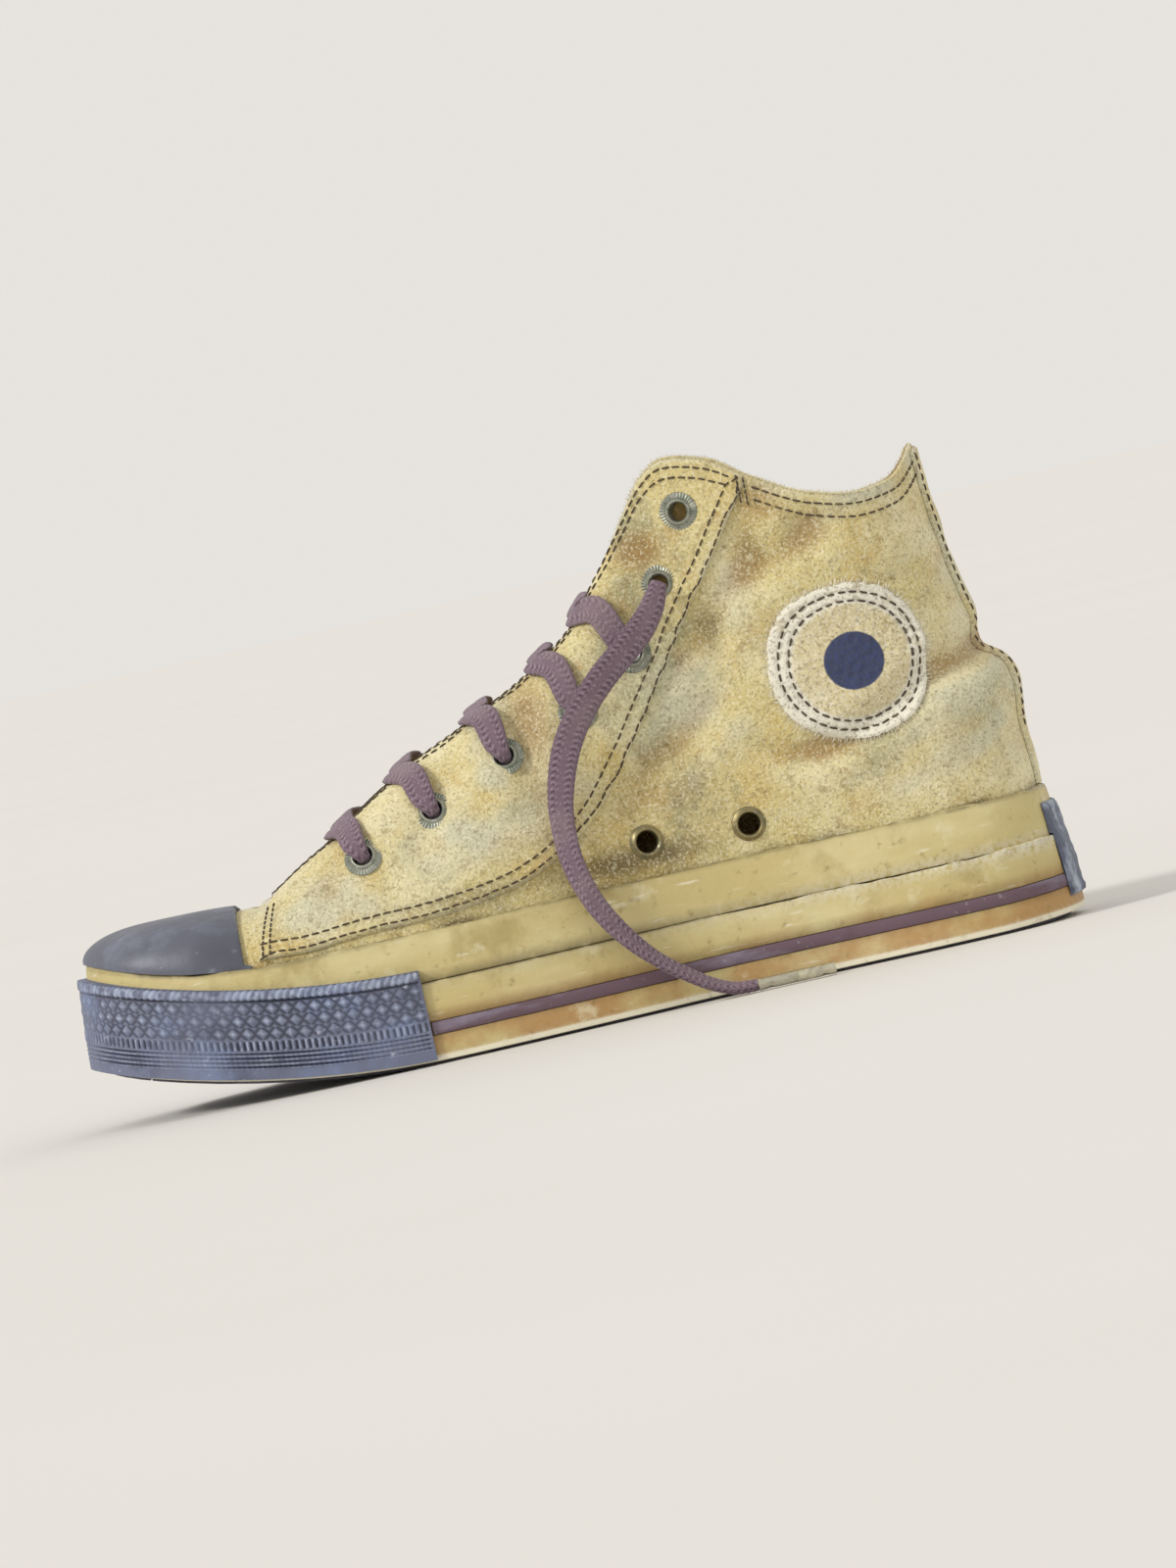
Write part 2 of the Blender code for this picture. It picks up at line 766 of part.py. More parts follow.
def groove_share(side, place, ends):
    """1 where the pinstripe's groove is cut, 0 under the toe bumper."""
    limit = ends[side] + 1.6 / SIDE_COLUMNS
    return 1.0 if place < limit else 0.0


def build_sidewall(materials, collection, ends):
    stripe_top = LOWER_BAND_TOP + PINSTRIPE_WIDTH

    def main_section(side, place):
        depth = PINSTRIPE_DEPTH * groove_share(side, place, ends)
        edge = 0.9 * MM
        outer = [
            (0, -edge / 2),
            (edge, 0),
            (LOWER_BAND_TOP, 0),
            (LOWER_BAND_TOP, -depth),
            (stripe_top, -depth),
            (stripe_top, 0),
            (MAIN_BAND_TOP - edge, 0),
            (MAIN_BAND_TOP, -edge),
        ]
        if depth == 0:
            outer[3] = (LOWER_BAND_TOP + 0.3 * PINSTRIPE_WIDTH, 0)
            outer[4] = (LOWER_BAND_TOP + 0.7 * PINSTRIPE_WIDTH, 0)
        loop = [wall_point(side, place, h, proud) for h, proud in outer]
        floor = FLOOR_TOP + SEAT_GAP - OUTSOLE_STEP
        for h in (MAIN_BAND_TOP, (MAIN_BAND_TOP + floor) / 2, floor, 0):
            loop.append(inner_point(side, place, h))
        return loop

    sweep("foxing", ring_columns(), main_section, True, materials["foxing"], collection)

    def strip_section(side, place):
        low = MAIN_BAND_TOP + GAP
        high = foxing_top(side, place)
        outer = [(low, 0), (low + 0.5 * (high - low), 0), (high - 1.2 * MM, 0), (high, -1.0 * MM)]
        loop = [wall_point(side, place, h, proud - STRIP_STEP) for h, proud in outer]
        for h in (high, (MAIN_BAND_TOP + high) / 2, low):
            loop.append(inner_point(side, place, h))
        return loop

    sweep(
        "foxing_upper", ring_columns(), strip_section, True, materials["foxing_upper"], collection
    )

    def stripe_section(side, place):
        low, high = LOWER_BAND_TOP + GAP, stripe_top - GAP
        outer = [
            (low, GAP - PINSTRIPE_DEPTH),
            (low, PINSTRIPE_PROUD * 0.4),
            ((low + high) / 2, PINSTRIPE_PROUD),
            (high, PINSTRIPE_PROUD * 0.4),
            (high, GAP - PINSTRIPE_DEPTH),
        ]
        return [wall_point(side, place, h, proud) for h, proud in outer]

    start = {side: ends[side] - 0.0015 for side in (-1, 1)}
    around_heel = columns_between(start[-1], start[1], through_toe=False)
    sweep("pinstripe", around_heel, stripe_section, False, materials["pinstripe"], collection)


def build_bumper(material, collection, ends):
    def section(side, place):
        inner = GAP
        rim = 3.3 * MM
        hook = MAIN_BAND_TOP + 2 * GAP
        edge = 0.8 * MM
        outer = [
            (BUMPER_BOTTOM, inner),
            (BUMPER_BOTTOM, inner + BUMPER_THICKNESS - edge),
            (BUMPER_BOTTOM + edge, inner + BUMPER_THICKNESS),
            (BUMPER_TOP - rim - edge, inner + BUMPER_THICKNESS),
            (BUMPER_TOP - rim, inner + BUMPER_THICKNESS - edge),
            (BUMPER_TOP - rim / 2, inner + BUMPER_THICKNESS),
            (BUMPER_TOP, inner + BUMPER_THICKNESS - 2 * edge),
            (BUMPER_TOP, GAP - STRIP_STEP),
            (hook + edge, GAP - STRIP_STEP),
            (hook, inner),
        ]
        return [wall_point(side, place, h, proud) for h, proud in outer]

    around_toe = columns_between(ends[-1], ends[1])
    return sweep("toe_bumper", around_toe, section, False, material, collection)


def build_label(material, collection):
    def section(side, place):
        edge = 0.5 * MM
        step = MAIN_BAND_TOP + 2 * GAP
        outer = [
            (LABEL_BOTTOM, GAP),
            (LABEL_BOTTOM, GAP + LABEL_THICKNESS - edge),
            (LABEL_BOTTOM + edge, GAP + LABEL_THICKNESS),
            (step, GAP + LABEL_THICKNESS),
            (LABEL_TOP - edge, LABEL_THICKNESS - STRIP_STEP + 2 * GAP),
            (LABEL_TOP, LABEL_THICKNESS - STRIP_STEP - edge + 2 * GAP),
            (LABEL_TOP, GAP - STRIP_STEP),
            (step + edge, GAP - STRIP_STEP),
            (step, GAP),
            (LOWER_BAND_TOP + PINSTRIPE_WIDTH, GAP + PINSTRIPE_PROUD),
            (LOWER_BAND_TOP, GAP + PINSTRIPE_PROUD),
        ]
        return [wall_point(side, place, h, proud) for h, proud in outer]

    reach = {}
    for side in (-1, 1):
        places = np.linspace(0, 0.2, 400)
        walked = [ring_at(side, u)[0] for u in places]
        length = np.cumsum([0] + [np.linalg.norm(b - a) for a, b in zip(walked, walked[1:])])
        reach[side] = float(np.interp(LABEL_WIDTH / 2, length, places))
    around = columns_between(reach[-1], reach[1], through_toe=False)
    return sweep("heel_label", around, section, False, material, collection)


def build_toe_cap(material, collection, cutters):
    edge = TOE_TIP + TOE_CAP_LENGTH
    start = {side: place_at_x(side, edge + 26 * MM) for side in (-1, 1)}
    columns = columns_between(start[-1], start[1])

    def shares(side, place):
        x = ring_at(side, place)[0][0]
        low = rise(x) + OUTSOLE_STEP + foxing_top(side, place) + 2 * GAP
        first = LAST.share_at(side, place, low)
        return [first + (0.97 - first) * k for k in (0, 0.18, 0.36, 0.52, 0.68, 0.84, 1.0)]

    cap = shell_patch("toe_cap", columns, shares, GAP, TOE_CAP_THICKNESS, material, collection)
    low = (TOE_TIP - BALL_WIDTH, -BALL_WIDTH, 0)
    high = (edge, BALL_WIDTH, SHAFT_HEIGHT)
    cut(cap, box("toe_cap_limit", low, high, cutters), "INTERSECT")
    return cap


def box(name, low, high, collection):
    shape = bmesh.new()
    bmesh.ops.create_cube(shape, size=1)
    for vertex in shape.verts:
        for k in range(3):
            vertex.co[k] = (low[k] + high[k]) / 2 + vertex.co[k] * (high[k] - low[k])
    mesh = bpy.data.meshes.new(name)
    shape.to_mesh(mesh)
    shape.free()
    made = bpy.data.objects.new(name, mesh)
    collection.objects.link(made)
    return made


def build_eyestay(side, name, material, collection):
    """The reinforced panel that carries the lace eyelets, lying on the quarter."""
    columns = [(side, u) for u in places_between(EYESTAY_EDGE[0][0], EYESTAY_EDGE[-1][0])]

    def shares(side, place):
        low = float(pchip(EYESTAY_EDGE, place))
        return [low + (1 - low) * k for k in (0, 0.22, 0.42, 0.58, 0.72, 0.83, 0.92, 1.0)]

    return shell_patch(
        name, columns, shares, OVERLAY_LIFT, OVERLAY_THICKNESS, material, collection
    )


def on_wall(side, x, z):
    """Place and height share where the upper's wall passes a given x and z."""
    best = (1e9, 0.5, 0.5)
    low_u, high_u, low_t, high_t = 0.02, 0.95, 0.05, 1.0
    for _ in range(6):
        for u in np.linspace(low_u, high_u, 12):
            for t in np.linspace(low_t, high_t, 12):
                p = LAST.point(side, u, t)
                miss = math.hypot(p[0] - x, p[2] - z)
                if miss < best[0]:
                    best = (miss, u, t)
        span_u, span_t = (high_u - low_u) / 5, (high_t - low_t) / 5
        low_u, high_u = max(0.0, best[1] - span_u), min(1.0, best[1] + span_u)
        low_t, high_t = max(0.0, best[2] - span_t), min(1.0, best[2] + span_t)
    return best[1], best[2]


def seat(side, spot):
    """Point and outward normal on the upper for a spot given as shares."""
    place, share = on_wall(side, spot[0] * LENGTH / 2, spot[1] * SHAFT_HEIGHT)
    return LAST.point(side, place, share), LAST.normal(side, place, share, 0.03)


def build_eyelet(name, point, normal, radius, depth, material, collection):
    """A turned ring whose barrel passes through the leather."""
    ring = [
        (radius - 0.9 * MM, EYELET_PROUD),
        (radius, 0.0),
        (EYELET_BARREL, 0.0),
        (EYELET_BARREL, -depth),
        (EYELET_HOLE, -depth),
        (EYELET_HOLE, 0.8 * EYELET_PROUD),
    ]
    mesh = bpy.data.meshes.new(name)
    count = len(ring)
    mesh.from_pydata([(r, 0, z) for r, z in ring], [(k, (k + 1) % count) for k in range(count)], [])
    mesh.materials.append(material)
    eyelet = bpy.data.objects.new(name, mesh)
    collection.objects.link(eyelet)
    turn = eyelet.modifiers.new("turned", "SCREW")
    turn.axis = "Z"
    turn.steps = EYELET_SIDES
    turn.render_steps = EYELET_SIDES
    turn.use_merge_vertices = True
    turn.merge_threshold = 0.00001
    turn.use_smooth_shade = True
    facing = Vector(normal).to_track_quat("Z", "Y")
    eyelet.rotation_mode = "QUATERNION"
    eyelet.rotation_quaternion = facing
    eyelet.location = Vector(point)
    return eyelet


def hole_cutter(name, seats, collection):
    """One mesh of short rods, where the eyelets' barrels pass through."""
    shape = bmesh.new()
    for point, normal in seats:
        facing = Vector(normal).to_track_quat("Z", "Y").to_matrix().to_4x4()
        facing.translation = Vector(point)
        bmesh.ops.create_cone(
            shape,
            cap_ends=True,
            segments=EYELET_SIDES,
            radius1=EYELET_BARREL + GAP,
            radius2=EYELET_BARREL + GAP,
            depth=12 * MM,
            matrix=facing,
        )
    mesh = bpy.data.meshes.new(name)
    shape.to_mesh(mesh)
    shape.free()
    made = bpy.data.objects.new(name, mesh)
    collection.objects.link(made)
    return made


def build_hardware(materials, collection, cutters, upper, eyestays):
    through = OVERLAY_THICKNESS + OVERLAY_LIFT
    depth = through + GAP + UPPER_WALL
    for side, label in ((-1, "medial"), (1, "lateral")):
        seats = []
        for k, spot in enumerate(EYELETS):
            point, normal = seat(side, spot)
            base = point + normal * (through + EYELET_LIFT)
            build_eyelet(
                f"eyelet_{label}_{k + 1}",
                base,
                normal,
                EYELET_RADIUS,
                depth,
                materials["eyelet"],
                collection,
            )
            seats.append((point, normal))
        cutter = hole_cutter("lace_holes_" + label, seats, cutters)
        cut(eyestays[side], cutter)
        cut(upper, cutter)
    vents = []
    for k, spot in enumerate(VENTS):
        point, normal = seat(-1, spot)
        base = point + normal * 2 * GAP
        build_eyelet(
            f"vent_eyelet_{k + 1}",
            base,
            normal,
            VENT_RADIUS,
            depth - through,
            materials["vent"],
            collection,
        )
        vents.append((point, normal))
    cut(upper, hole_cutter("vent_holes", vents, cutters))


def build_patch(material, collection):
    """A round patch that follows the ankle's curve."""
    place, share = on_wall(-1, PATCH_CENTRE[0] * LENGTH / 2, PATCH_CENTRE[1] * SHAFT_HEIGHT)
    centre = LAST.point(-1, place, share)
    across = LAST.point(-1, place - 0.01, share) - centre
    upward = LAST.point(-1, place, share + 0.01) - centre
    per_place = 0.01 / np.linalg.norm(across)
    per_share = 0.01 / np.linalg.norm(upward)
    skew = np.dot(across, upward) / (np.linalg.norm(across) * np.linalg.norm(upward))
    square = math.sqrt(1 - skew**2)
    rings, sides = 3, 24
    layers = []
    for distance in (OVERLAY_LIFT, OVERLAY_LIFT + PATCH_THICKNESS):
        layer = [LAST.offset(-1, place, share, distance)]
        for r in range(1, rings + 1):
            for k in range(sides):
                angle = 2 * math.pi * k / sides
                a = PATCH_RADIUS * r / rings * math.cos(angle)
                b = PATCH_RADIUS * r / rings * math.sin(angle) / square
                u = place - (a - b * skew) * per_place
                t = share + b * per_share
                layer.append(LAST.offset(-1, u, t, distance))
        layers.append(layer)
    size = len(layers[0])
    faces = []
    for base in (0, size):
        for k in range(sides):
            n = (k + 1) % sides
            faces.append((base, base + 1 + k, base + 1 + n))
            for r in range(rings - 1):
                a, b = base + 1 + r * sides, base + 1 + (r + 1) * sides
                faces.append((a + k, b + k, b + n, a + n))
    rim = 1 + (rings - 1) * sides
    for k in range(sides):
        n = (k + 1) % sides
        faces.append((rim + k, rim + n, size + rim + n, size + rim + k))
    return mesh_object("ankle_patch", layers[0] + layers[1], faces, material, collection)


def build_tongue(material, collection):
    """A padded strip under the throat, its wings tucked inside the quarters."""
    depth = -(UPPER_WALL + TONGUE_CLEARANCE)
    strips = []
    for u in places_between(TONGUE_TOP, TONGUE_FRONT):
        wings = {}
        for side in (-1, 1):
            rows = ((TONGUE_WING, 0), ((1 + TONGUE_WING) / 2, TONGUE_SINK / 2), (1.0, TONGUE_SINK))
            wings[side] = [LAST.offset(side, u, t, depth - sink) for t, sink in rows]
        medial, lateral = wings[-1][-1], wings[1][-1]
        out = LAST.normal(-1, u, 1.0) + LAST.normal(1, u, 1.0)
        out /= np.linalg.norm(out)
        arch = 0.10 * np.linalg.norm(lateral - medial) * (1 - smoothstep(0.70, 0.80, u))
        middle = []
        for k in (0.25, 0.5, 0.75):
            lift = 4 * k * (1 - k) * arch
            middle.append(medial * (1 - k) + lateral * k + out * lift)
        strips.append(wings[-1] + middle + wings[1][::-1])
    front = np.array(strips[-1])
    for step, narrow, drop in ((8 * MM, 0.9, 1.2 * MM), (16 * MM, 0.78, 2.4 * MM)):
        moved = front.copy()
        mean = front[:, 1].mean()
        moved[:, 0] -= step
        moved[:, 1] = mean + (moved[:, 1] - mean) * narrow
        moved[:, 2] -= drop
        strips.append(list(moved))
    points = [p for strip in strips for p in strip]
    faces = grid_faces(len(strips), len(strips[0]))
    tongue = mesh_object("tongue", points, faces, material, collection)
    outward = Vector((-0.6, 0.0, 0.8))
    if sum(face.normal.dot(outward) * face.area for face in tongue.data.polygons) < 0:
        tongue.data.flip_normals()
    wall = tongue.modifiers.new("padding", "SOLIDIFY")
    wall.thickness = TONGUE_THICKNESS
    wall.offset = -1
    return tongue


def nearest_edge(side, point):
    """Place on the throat's edge that lies nearest to a point on the eyestay."""
    places = np.linspace(0.36, 0.84, 200)
    gaps = [np.linalg.norm(top_edge(side, u) - point) for u in places]
    return float(places[int(np.argmin(gaps))])


def build_lace_bars(material, collection):
    """Flat lace across the throat, one bar for each laced pair of eyelets."""
    on_leather = OVERLAY_LIFT + OVERLAY_THICKNESS
    over_eyelet = on_leather + EYELET_LIFT + EYELET_PROUD + LACE_CLEARANCE + LACE_THICKNESS / 2
    over_edge = on_leather + LACE_EDGE_CLEARANCE + LACE_THICKNESS / 2
    for k in LACED:
        route, along = [], np.zeros(3)
        out = np.zeros(3)
        for side in (-1, 1):
            spot = EYELETS[k]
            place, share = on_wall(side, spot[0] * LENGTH / 2, spot[1] * SHAFT_HEIGHT)
            near = nearest_edge(side, LAST.point(side, place, share))
            normal = LAST.normal(side, place, share, 0.03)
            start = LAST.point(side, place, share) + normal * over_eyelet
            edge = LAST.offset(side, near, 1.0, over_edge)
            ahead = edge - start
            ahead -= normal * np.dot(ahead, normal)
            past_ring = start + ahead / np.linalg.norm(ahead) * EYELET_RADIUS
            between = LAST.offset(side, (place + 2 * near) / 3, (share + 2) / 3, over_edge)
            part = [start, past_ring, between, edge]
            route.append(part)
            along += top_edge(side, near - 0.01) - top_edge(side, near + 0.01)
            out += LAST.normal(side, near, 1.0)
        out /= np.linalg.norm(out)
        middle = (route[0][-1] + route[1][-1]) / 2 + out * LACE_ARCH
        route = route[0] + [middle] + route[1][::-1]
        line = resample(smooth_curve(route), 11)
        wide = along / np.linalg.norm(along)
        tangent = np.gradient(line, axis=0)
        points = []
        for p, t in zip(line, tangent):
            t = t / np.linalg.norm(t)
            w = wide - t * np.dot(wide, t)
            w /= np.linalg.norm(w)
            n = np.cross(w, t)
            for a, b in ((-1, 0), (-0.75, -1), (0.75, -1), (1, 0), (0.75, 1), (-0.75, 1)):
                points.append(p + w * a * LACE_WIDTH / 2 + n * b * LACE_THICKNESS / 2)
        faces = []
        for r in range(len(line) - 1):
            for j in range(6):
                n = (j + 1) % 6
                faces.append((r * 6 + j, r * 6 + n, (r + 1) * 6 + n, (r + 1) * 6 + j))
        faces.append(tuple(range(6)))
        faces.append(tuple((len(line) - 1) * 6 + j for j in range(6)))
        mesh_object(f"lace_bar_{k + 1}", points, faces, material, collection)


def build_backstay(material, collection):
    """The narrow strip that covers the back seam, from the foxing to the collar."""
    columns = [(-1, 0.026), (-1, 0.013), (-1, 0.0), (1, 0.013), (1, 0.026)]

    def shares(side, place):
        x = ring_at(side, place)[0][0]
        low = LAST.share_at(side, place, rise(x) + OUTSOLE_STEP + FOXING_TOP + 2 * GAP)
        return [low + (0.995 - low) * k / 9 for k in range(10)]

    return shell_patch(
        "backstay", columns, shares, OVERLAY_LIFT, BACKSTAY_THICKNESS, material, collection
    )


def build_lace_end(label, route, heading, materials, collection):
    """One loose end as a plain tube, with its metal tip beyond it."""
    fine = smooth_curve(np.array(route) * MM)
    gaps = np.linalg.norm(np.diff(fine, axis=0), axis=1)
    line = resample(fine, int(round(gaps.sum() / CORD_SPACING)) + 1)
    curve = bpy.data.curves.new("lace_end_" + label, "CURVE")
    curve.dimensions = "3D"
    curve.bevel_depth = CORD_RADIUS
    curve.bevel_resolution = 2
    curve.render_resolution_u = 0
    curve.use_fill_caps = True
    spline = curve.splines.new("POLY")
    spline.points.add(len(line) - 1)
    for target, point in zip(spline.points, line):
        target.co = (*point, 1.0)
    curve.materials.append(materials["lace"])
    collection.objects.link(bpy.data.objects.new("lace_end_" + label, curve))
    along = Vector(heading).normalized()
    start = Vector(line[-1]) + along * GAP
    shape = bmesh.new()
    facing = along.to_track_quat("Z", "Y").to_matrix().to_4x4()
    facing.translation = start + along * AGLET_LENGTH / 2
    bmesh.ops.create_cone(
        shape,
        cap_ends=True,
        segments=10,
        radius1=AGLET_RADIUS,
        radius2=AGLET_RADIUS,
        depth=AGLET_LENGTH,
        matrix=facing,
    )
    mesh = bpy.data.meshes.new("aglet_" + label)
    shape.to_mesh(mesh)
    shape.free()
    mesh.shade_smooth()
    mesh.set_sharp_from_angle(angle=math.radians(40))
    mesh.materials.append(materials["aglet"])
    collection.objects.link(bpy.data.objects.new("aglet_" + label, mesh))


def main():
    clear_scene()
    shoe = new_collection("sneaker")
    cutters = new_collection("cutters")
    suede = new_material("suede", "D3C084", 0.95)
    rubber = new_material("foxing_rubber", "CBB77C", 0.55)
    materials = {
        "foxing": rubber,
        "foxing_upper": rubber,
        "pinstripe": new_material("stripe_rubber", "6B5660", 0.55),
        "eyelet": new_material("aged_nickel", "8C8A78", 0.4, 0.9),
        "vent": new_material("aged_brass", "8F8560", 0.4, 0.9),
    }
    bumper_rubber = new_material("bumper_rubber", "767B92", 0.6)
    dark_rubber = new_material("outsole_rubber", "5B5966", 0.7)
    ends = {side: place_at_x(side, TOE_TIP + BUMPER_LENGTH) for side in (-1, 1)}
    upper = build_upper(suede, shoe)
    build_outsole(dark_rubber, shoe, cutters)
    build_sidewall(materials, shoe, ends)
    build_bumper(bumper_rubber, shoe, ends)
    build_label(new_material("label_rubber", "6C7386", 0.6), shoe)
    build_toe_cap(new_material("toe_cap_rubber", "5E606C", 0.5), shoe, cutters)
    build_insole(new_material("insole_fabric", "A08C5C", 0.95), shoe)
    build_tongue(new_material("tongue_suede", "A98F55", 0.95), shoe)
    eyestays = {
        -1: build_eyestay(-1, "eyestay_medial", suede, shoe),
        1: build_eyestay(1, "eyestay_lateral", suede, shoe),
    }
    build_backstay(suede, shoe)
    build_hardware(materials, shoe, cutters, upper, eyestays)
    build_patch(new_material("patch_canvas", "D9D4BF", 0.95), shoe)
    materials["lace"] = new_material("lace_cotton", "83697A", 0.9)
    materials["aglet"] = new_material("aglet_brass", "B7A876", 0.35, 0.9)
    build_lace_bars(materials["lace"], shoe)
    build_lace_end("medial", MEDIAL_END, AGLET_HEADING[-1], materials, shoe)
    build_lace_end("lateral", LATERAL_END, AGLET_HEADING[1], materials, shoe)


main()
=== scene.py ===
import math

import bmesh
import bpy
import numpy as np
from mathutils import Matrix, Vector


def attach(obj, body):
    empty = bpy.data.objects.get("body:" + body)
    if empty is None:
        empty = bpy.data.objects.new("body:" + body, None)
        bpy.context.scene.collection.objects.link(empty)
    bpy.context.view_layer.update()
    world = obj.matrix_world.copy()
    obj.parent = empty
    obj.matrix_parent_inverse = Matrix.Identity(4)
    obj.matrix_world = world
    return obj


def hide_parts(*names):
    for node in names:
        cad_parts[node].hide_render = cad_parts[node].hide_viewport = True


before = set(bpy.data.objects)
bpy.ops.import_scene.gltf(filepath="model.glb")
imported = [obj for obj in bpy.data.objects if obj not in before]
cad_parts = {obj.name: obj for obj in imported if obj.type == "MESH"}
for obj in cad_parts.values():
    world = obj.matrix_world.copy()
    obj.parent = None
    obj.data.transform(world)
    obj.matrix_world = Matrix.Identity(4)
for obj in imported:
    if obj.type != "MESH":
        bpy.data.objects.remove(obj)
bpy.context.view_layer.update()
print("frame loaded:", len(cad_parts), "CAD nodes")

mm = 0.001
collection = bpy.data.collections.new("sneaker")
bpy.context.scene.collection.children.link(collection)


# The shoe's own sizes and curves, the same ones that its solids are made from

shoe = {
    "length": 300 * mm,
    "ballWidth": 104 * mm,
    "shaftHeight": 157.5 * mm,
    "collarWidth": 56 * mm,
    "throatWidth": 29 * mm,
    "toeBoxHeight": 55 * mm,
    "toeSpring": 18 * mm,
    "heelBevel": 1.2 * mm,
    "gap": 0.3 * mm,
    "seatGap": 0.9 * mm,
    "wallTuck": 1.6 * mm,
    "wall": 2.0 * mm,
    "sidewall": 4.2 * mm,
    "stripStep": 1.1 * mm,
    "lean": 1.6 * mm,
    "outsoleStep": 1.0 * mm,
    "floorTop": 9.0 * mm,
    "bumperThickness": 1.8 * mm,
    "labelThickness": 1.3 * mm,
    "bandTop": 23.0 * mm,
    "foxingTop": 38.0 * mm,
    "foxingTopAtToe": 31.0 * mm,
    "bumperLength": 103 * mm,
    "toeCapLength": 53 * mm,
    "edgeTurn": 0.88,
}

outlineMedial = [
    (1.000, 0.03), (0.962, -0.36), (0.860, -0.58), (0.700, -0.66), (0.480, -0.64), (0.280, -0.665),
    (0.050, -0.83), (-0.200, -0.975), (-0.400, -1.000), (-0.620, -0.955), (-0.800, -0.84),
    (-0.930, -0.60), (-1.000, -0.17),
]
outlineLateral = [
    (-0.955, 0.22), (-0.840, 0.52), (-0.670, 0.76), (-0.450, 0.93), (-0.220, 1.000), (0.020, 0.965),
    (0.260, 0.875), (0.500, 0.785), (0.720, 0.745), (0.880, 0.62), (0.970, 0.37),
]
collarEdge = [
    (0.00, 0.851, 0.00, 0.927), (0.05, 0.830, 0.34, 0.899), (0.10, 0.790, 0.64, 0.870),
    (0.16, 0.720, 0.88, 0.861), (0.22, 0.627, 1.00, 0.880), (0.28, 0.520, 0.96, 0.934),
    (0.32, 0.440, 0.84, 0.984), (0.36, 0.362, 0.70, 1.000),
]
throatEdge = [
    (0.39, 0.312, 1.20, 0.960), (0.43, 0.266, 1.16, 0.868), (0.48, 0.207, 1.10, 0.737),
    (0.53, 0.140, 1.04, 0.605), (0.58, 0.040, 1.00, 0.493), (0.63, -0.093, 0.97, 0.390),
    (0.67, -0.227, 0.96, 0.307), (0.71, -0.347, 0.94, 0.205), (0.75, -0.467, 0.90, 0.098),
    (0.80, -0.560, 0.80, 0.018), (0.86, -0.603, 0.54, -0.002), (0.93, -0.618, 0.27, 0.000),
    (1.00, -0.622, 0.00, 0.000),
]
rearInset = [
    (0.00, 0.00), (0.25, 0.00), (0.33, 0.02), (0.45, 0.11), (0.54, 0.36), (0.60, 0.56),
    (0.78, 0.80), (0.93, 0.95), (1.00, 1.00),
]
fullness = [
    (0.30, 1.35), (0.45, 1.40), (0.55, 1.55), (0.63, 1.80), (0.72, 2.25), (0.80, 2.80),
    (0.90, 3.3), (1.00, 3.4),
]
tuckIn = [(0.00, 0.0), (0.20, 1.0), (0.45, 0.8), (1.00, 0.0)]
middleLine = [(-1.0, -0.16), (-0.62, -0.13), (-0.33, -0.06), (0.0, 0.0), (1.0, 0.0)]
eyestayEdge = [
    (0.285, 0.985), (0.33, 0.78), (0.40, 0.55), (0.48, 0.39), (0.56, 0.32), (0.64, 0.30),
    (0.72, 0.31), (0.785, 0.36),
]
eyeletSpots = [
    (0.375, 0.900), (0.305, 0.776), (0.222, 0.660), (0.095, 0.576), (-0.062, 0.522),
    (-0.222, 0.456), (-0.372, 0.398),
]
ventSpots = [(0.172, 0.314), (0.375, 0.305)]
patchSpot = (0.645, 0.560)

# Routes of the two loose ends of the lace, in millimetres
medialEnd = [
    (45.6, -26.8, 122.6), (42.8, -30.2, 117.2), (38.6, -32.6, 111.8), (32.0, -34.4, 106.0),
    (24.6, -35.2, 100.2), (18.0, -35.8, 94.0), (12.4, -36.4, 87.2), (8.2, -37.1, 80.0),
    (5.4, -37.4, 72.5), (3.6, -37.8, 65.0), (3.0, -38.8, 57.5), (3.4, -41.0, 50.0),
    (5.0, -43.2, 42.5), (8.0, -44.2, 34.5), (13.0, -44.4, 26.0), (20.0, -44.2, 17.5),
    (28.5, -43.8, 10.2), (36.5, -43.3, 4.9), (42.5, -42.8, 2.6), (48.5, -42.3, 2.2),
]
lateralEnd = [
    (45.2, 29.9, 123.0), (46.0, 30.2, 117.0), (46.4, 30.8, 110.5), (46.3, 32.0, 104.0),
    (45.6, 33.9, 97.0), (44.4, 36.6, 89.0), (42.9, 39.0, 81.0), (41.3, 40.5, 72.5),
    (40.0, 41.4, 64.0), (39.2, 42.4, 56.0), (39.2, 44.2, 48.5), (39.9, 46.4, 41.0),
    (41.2, 47.9, 33.0), (43.4, 48.6, 25.0), (46.8, 48.8, 17.0), (52.0, 48.8, 10.4),
    (59.0, 48.4, 5.6), (67.5, 47.8, 2.9), (76.0, 47.2, 2.2), (84.5, 46.6, 2.2), (92.0, 46.0, 2.2),
]


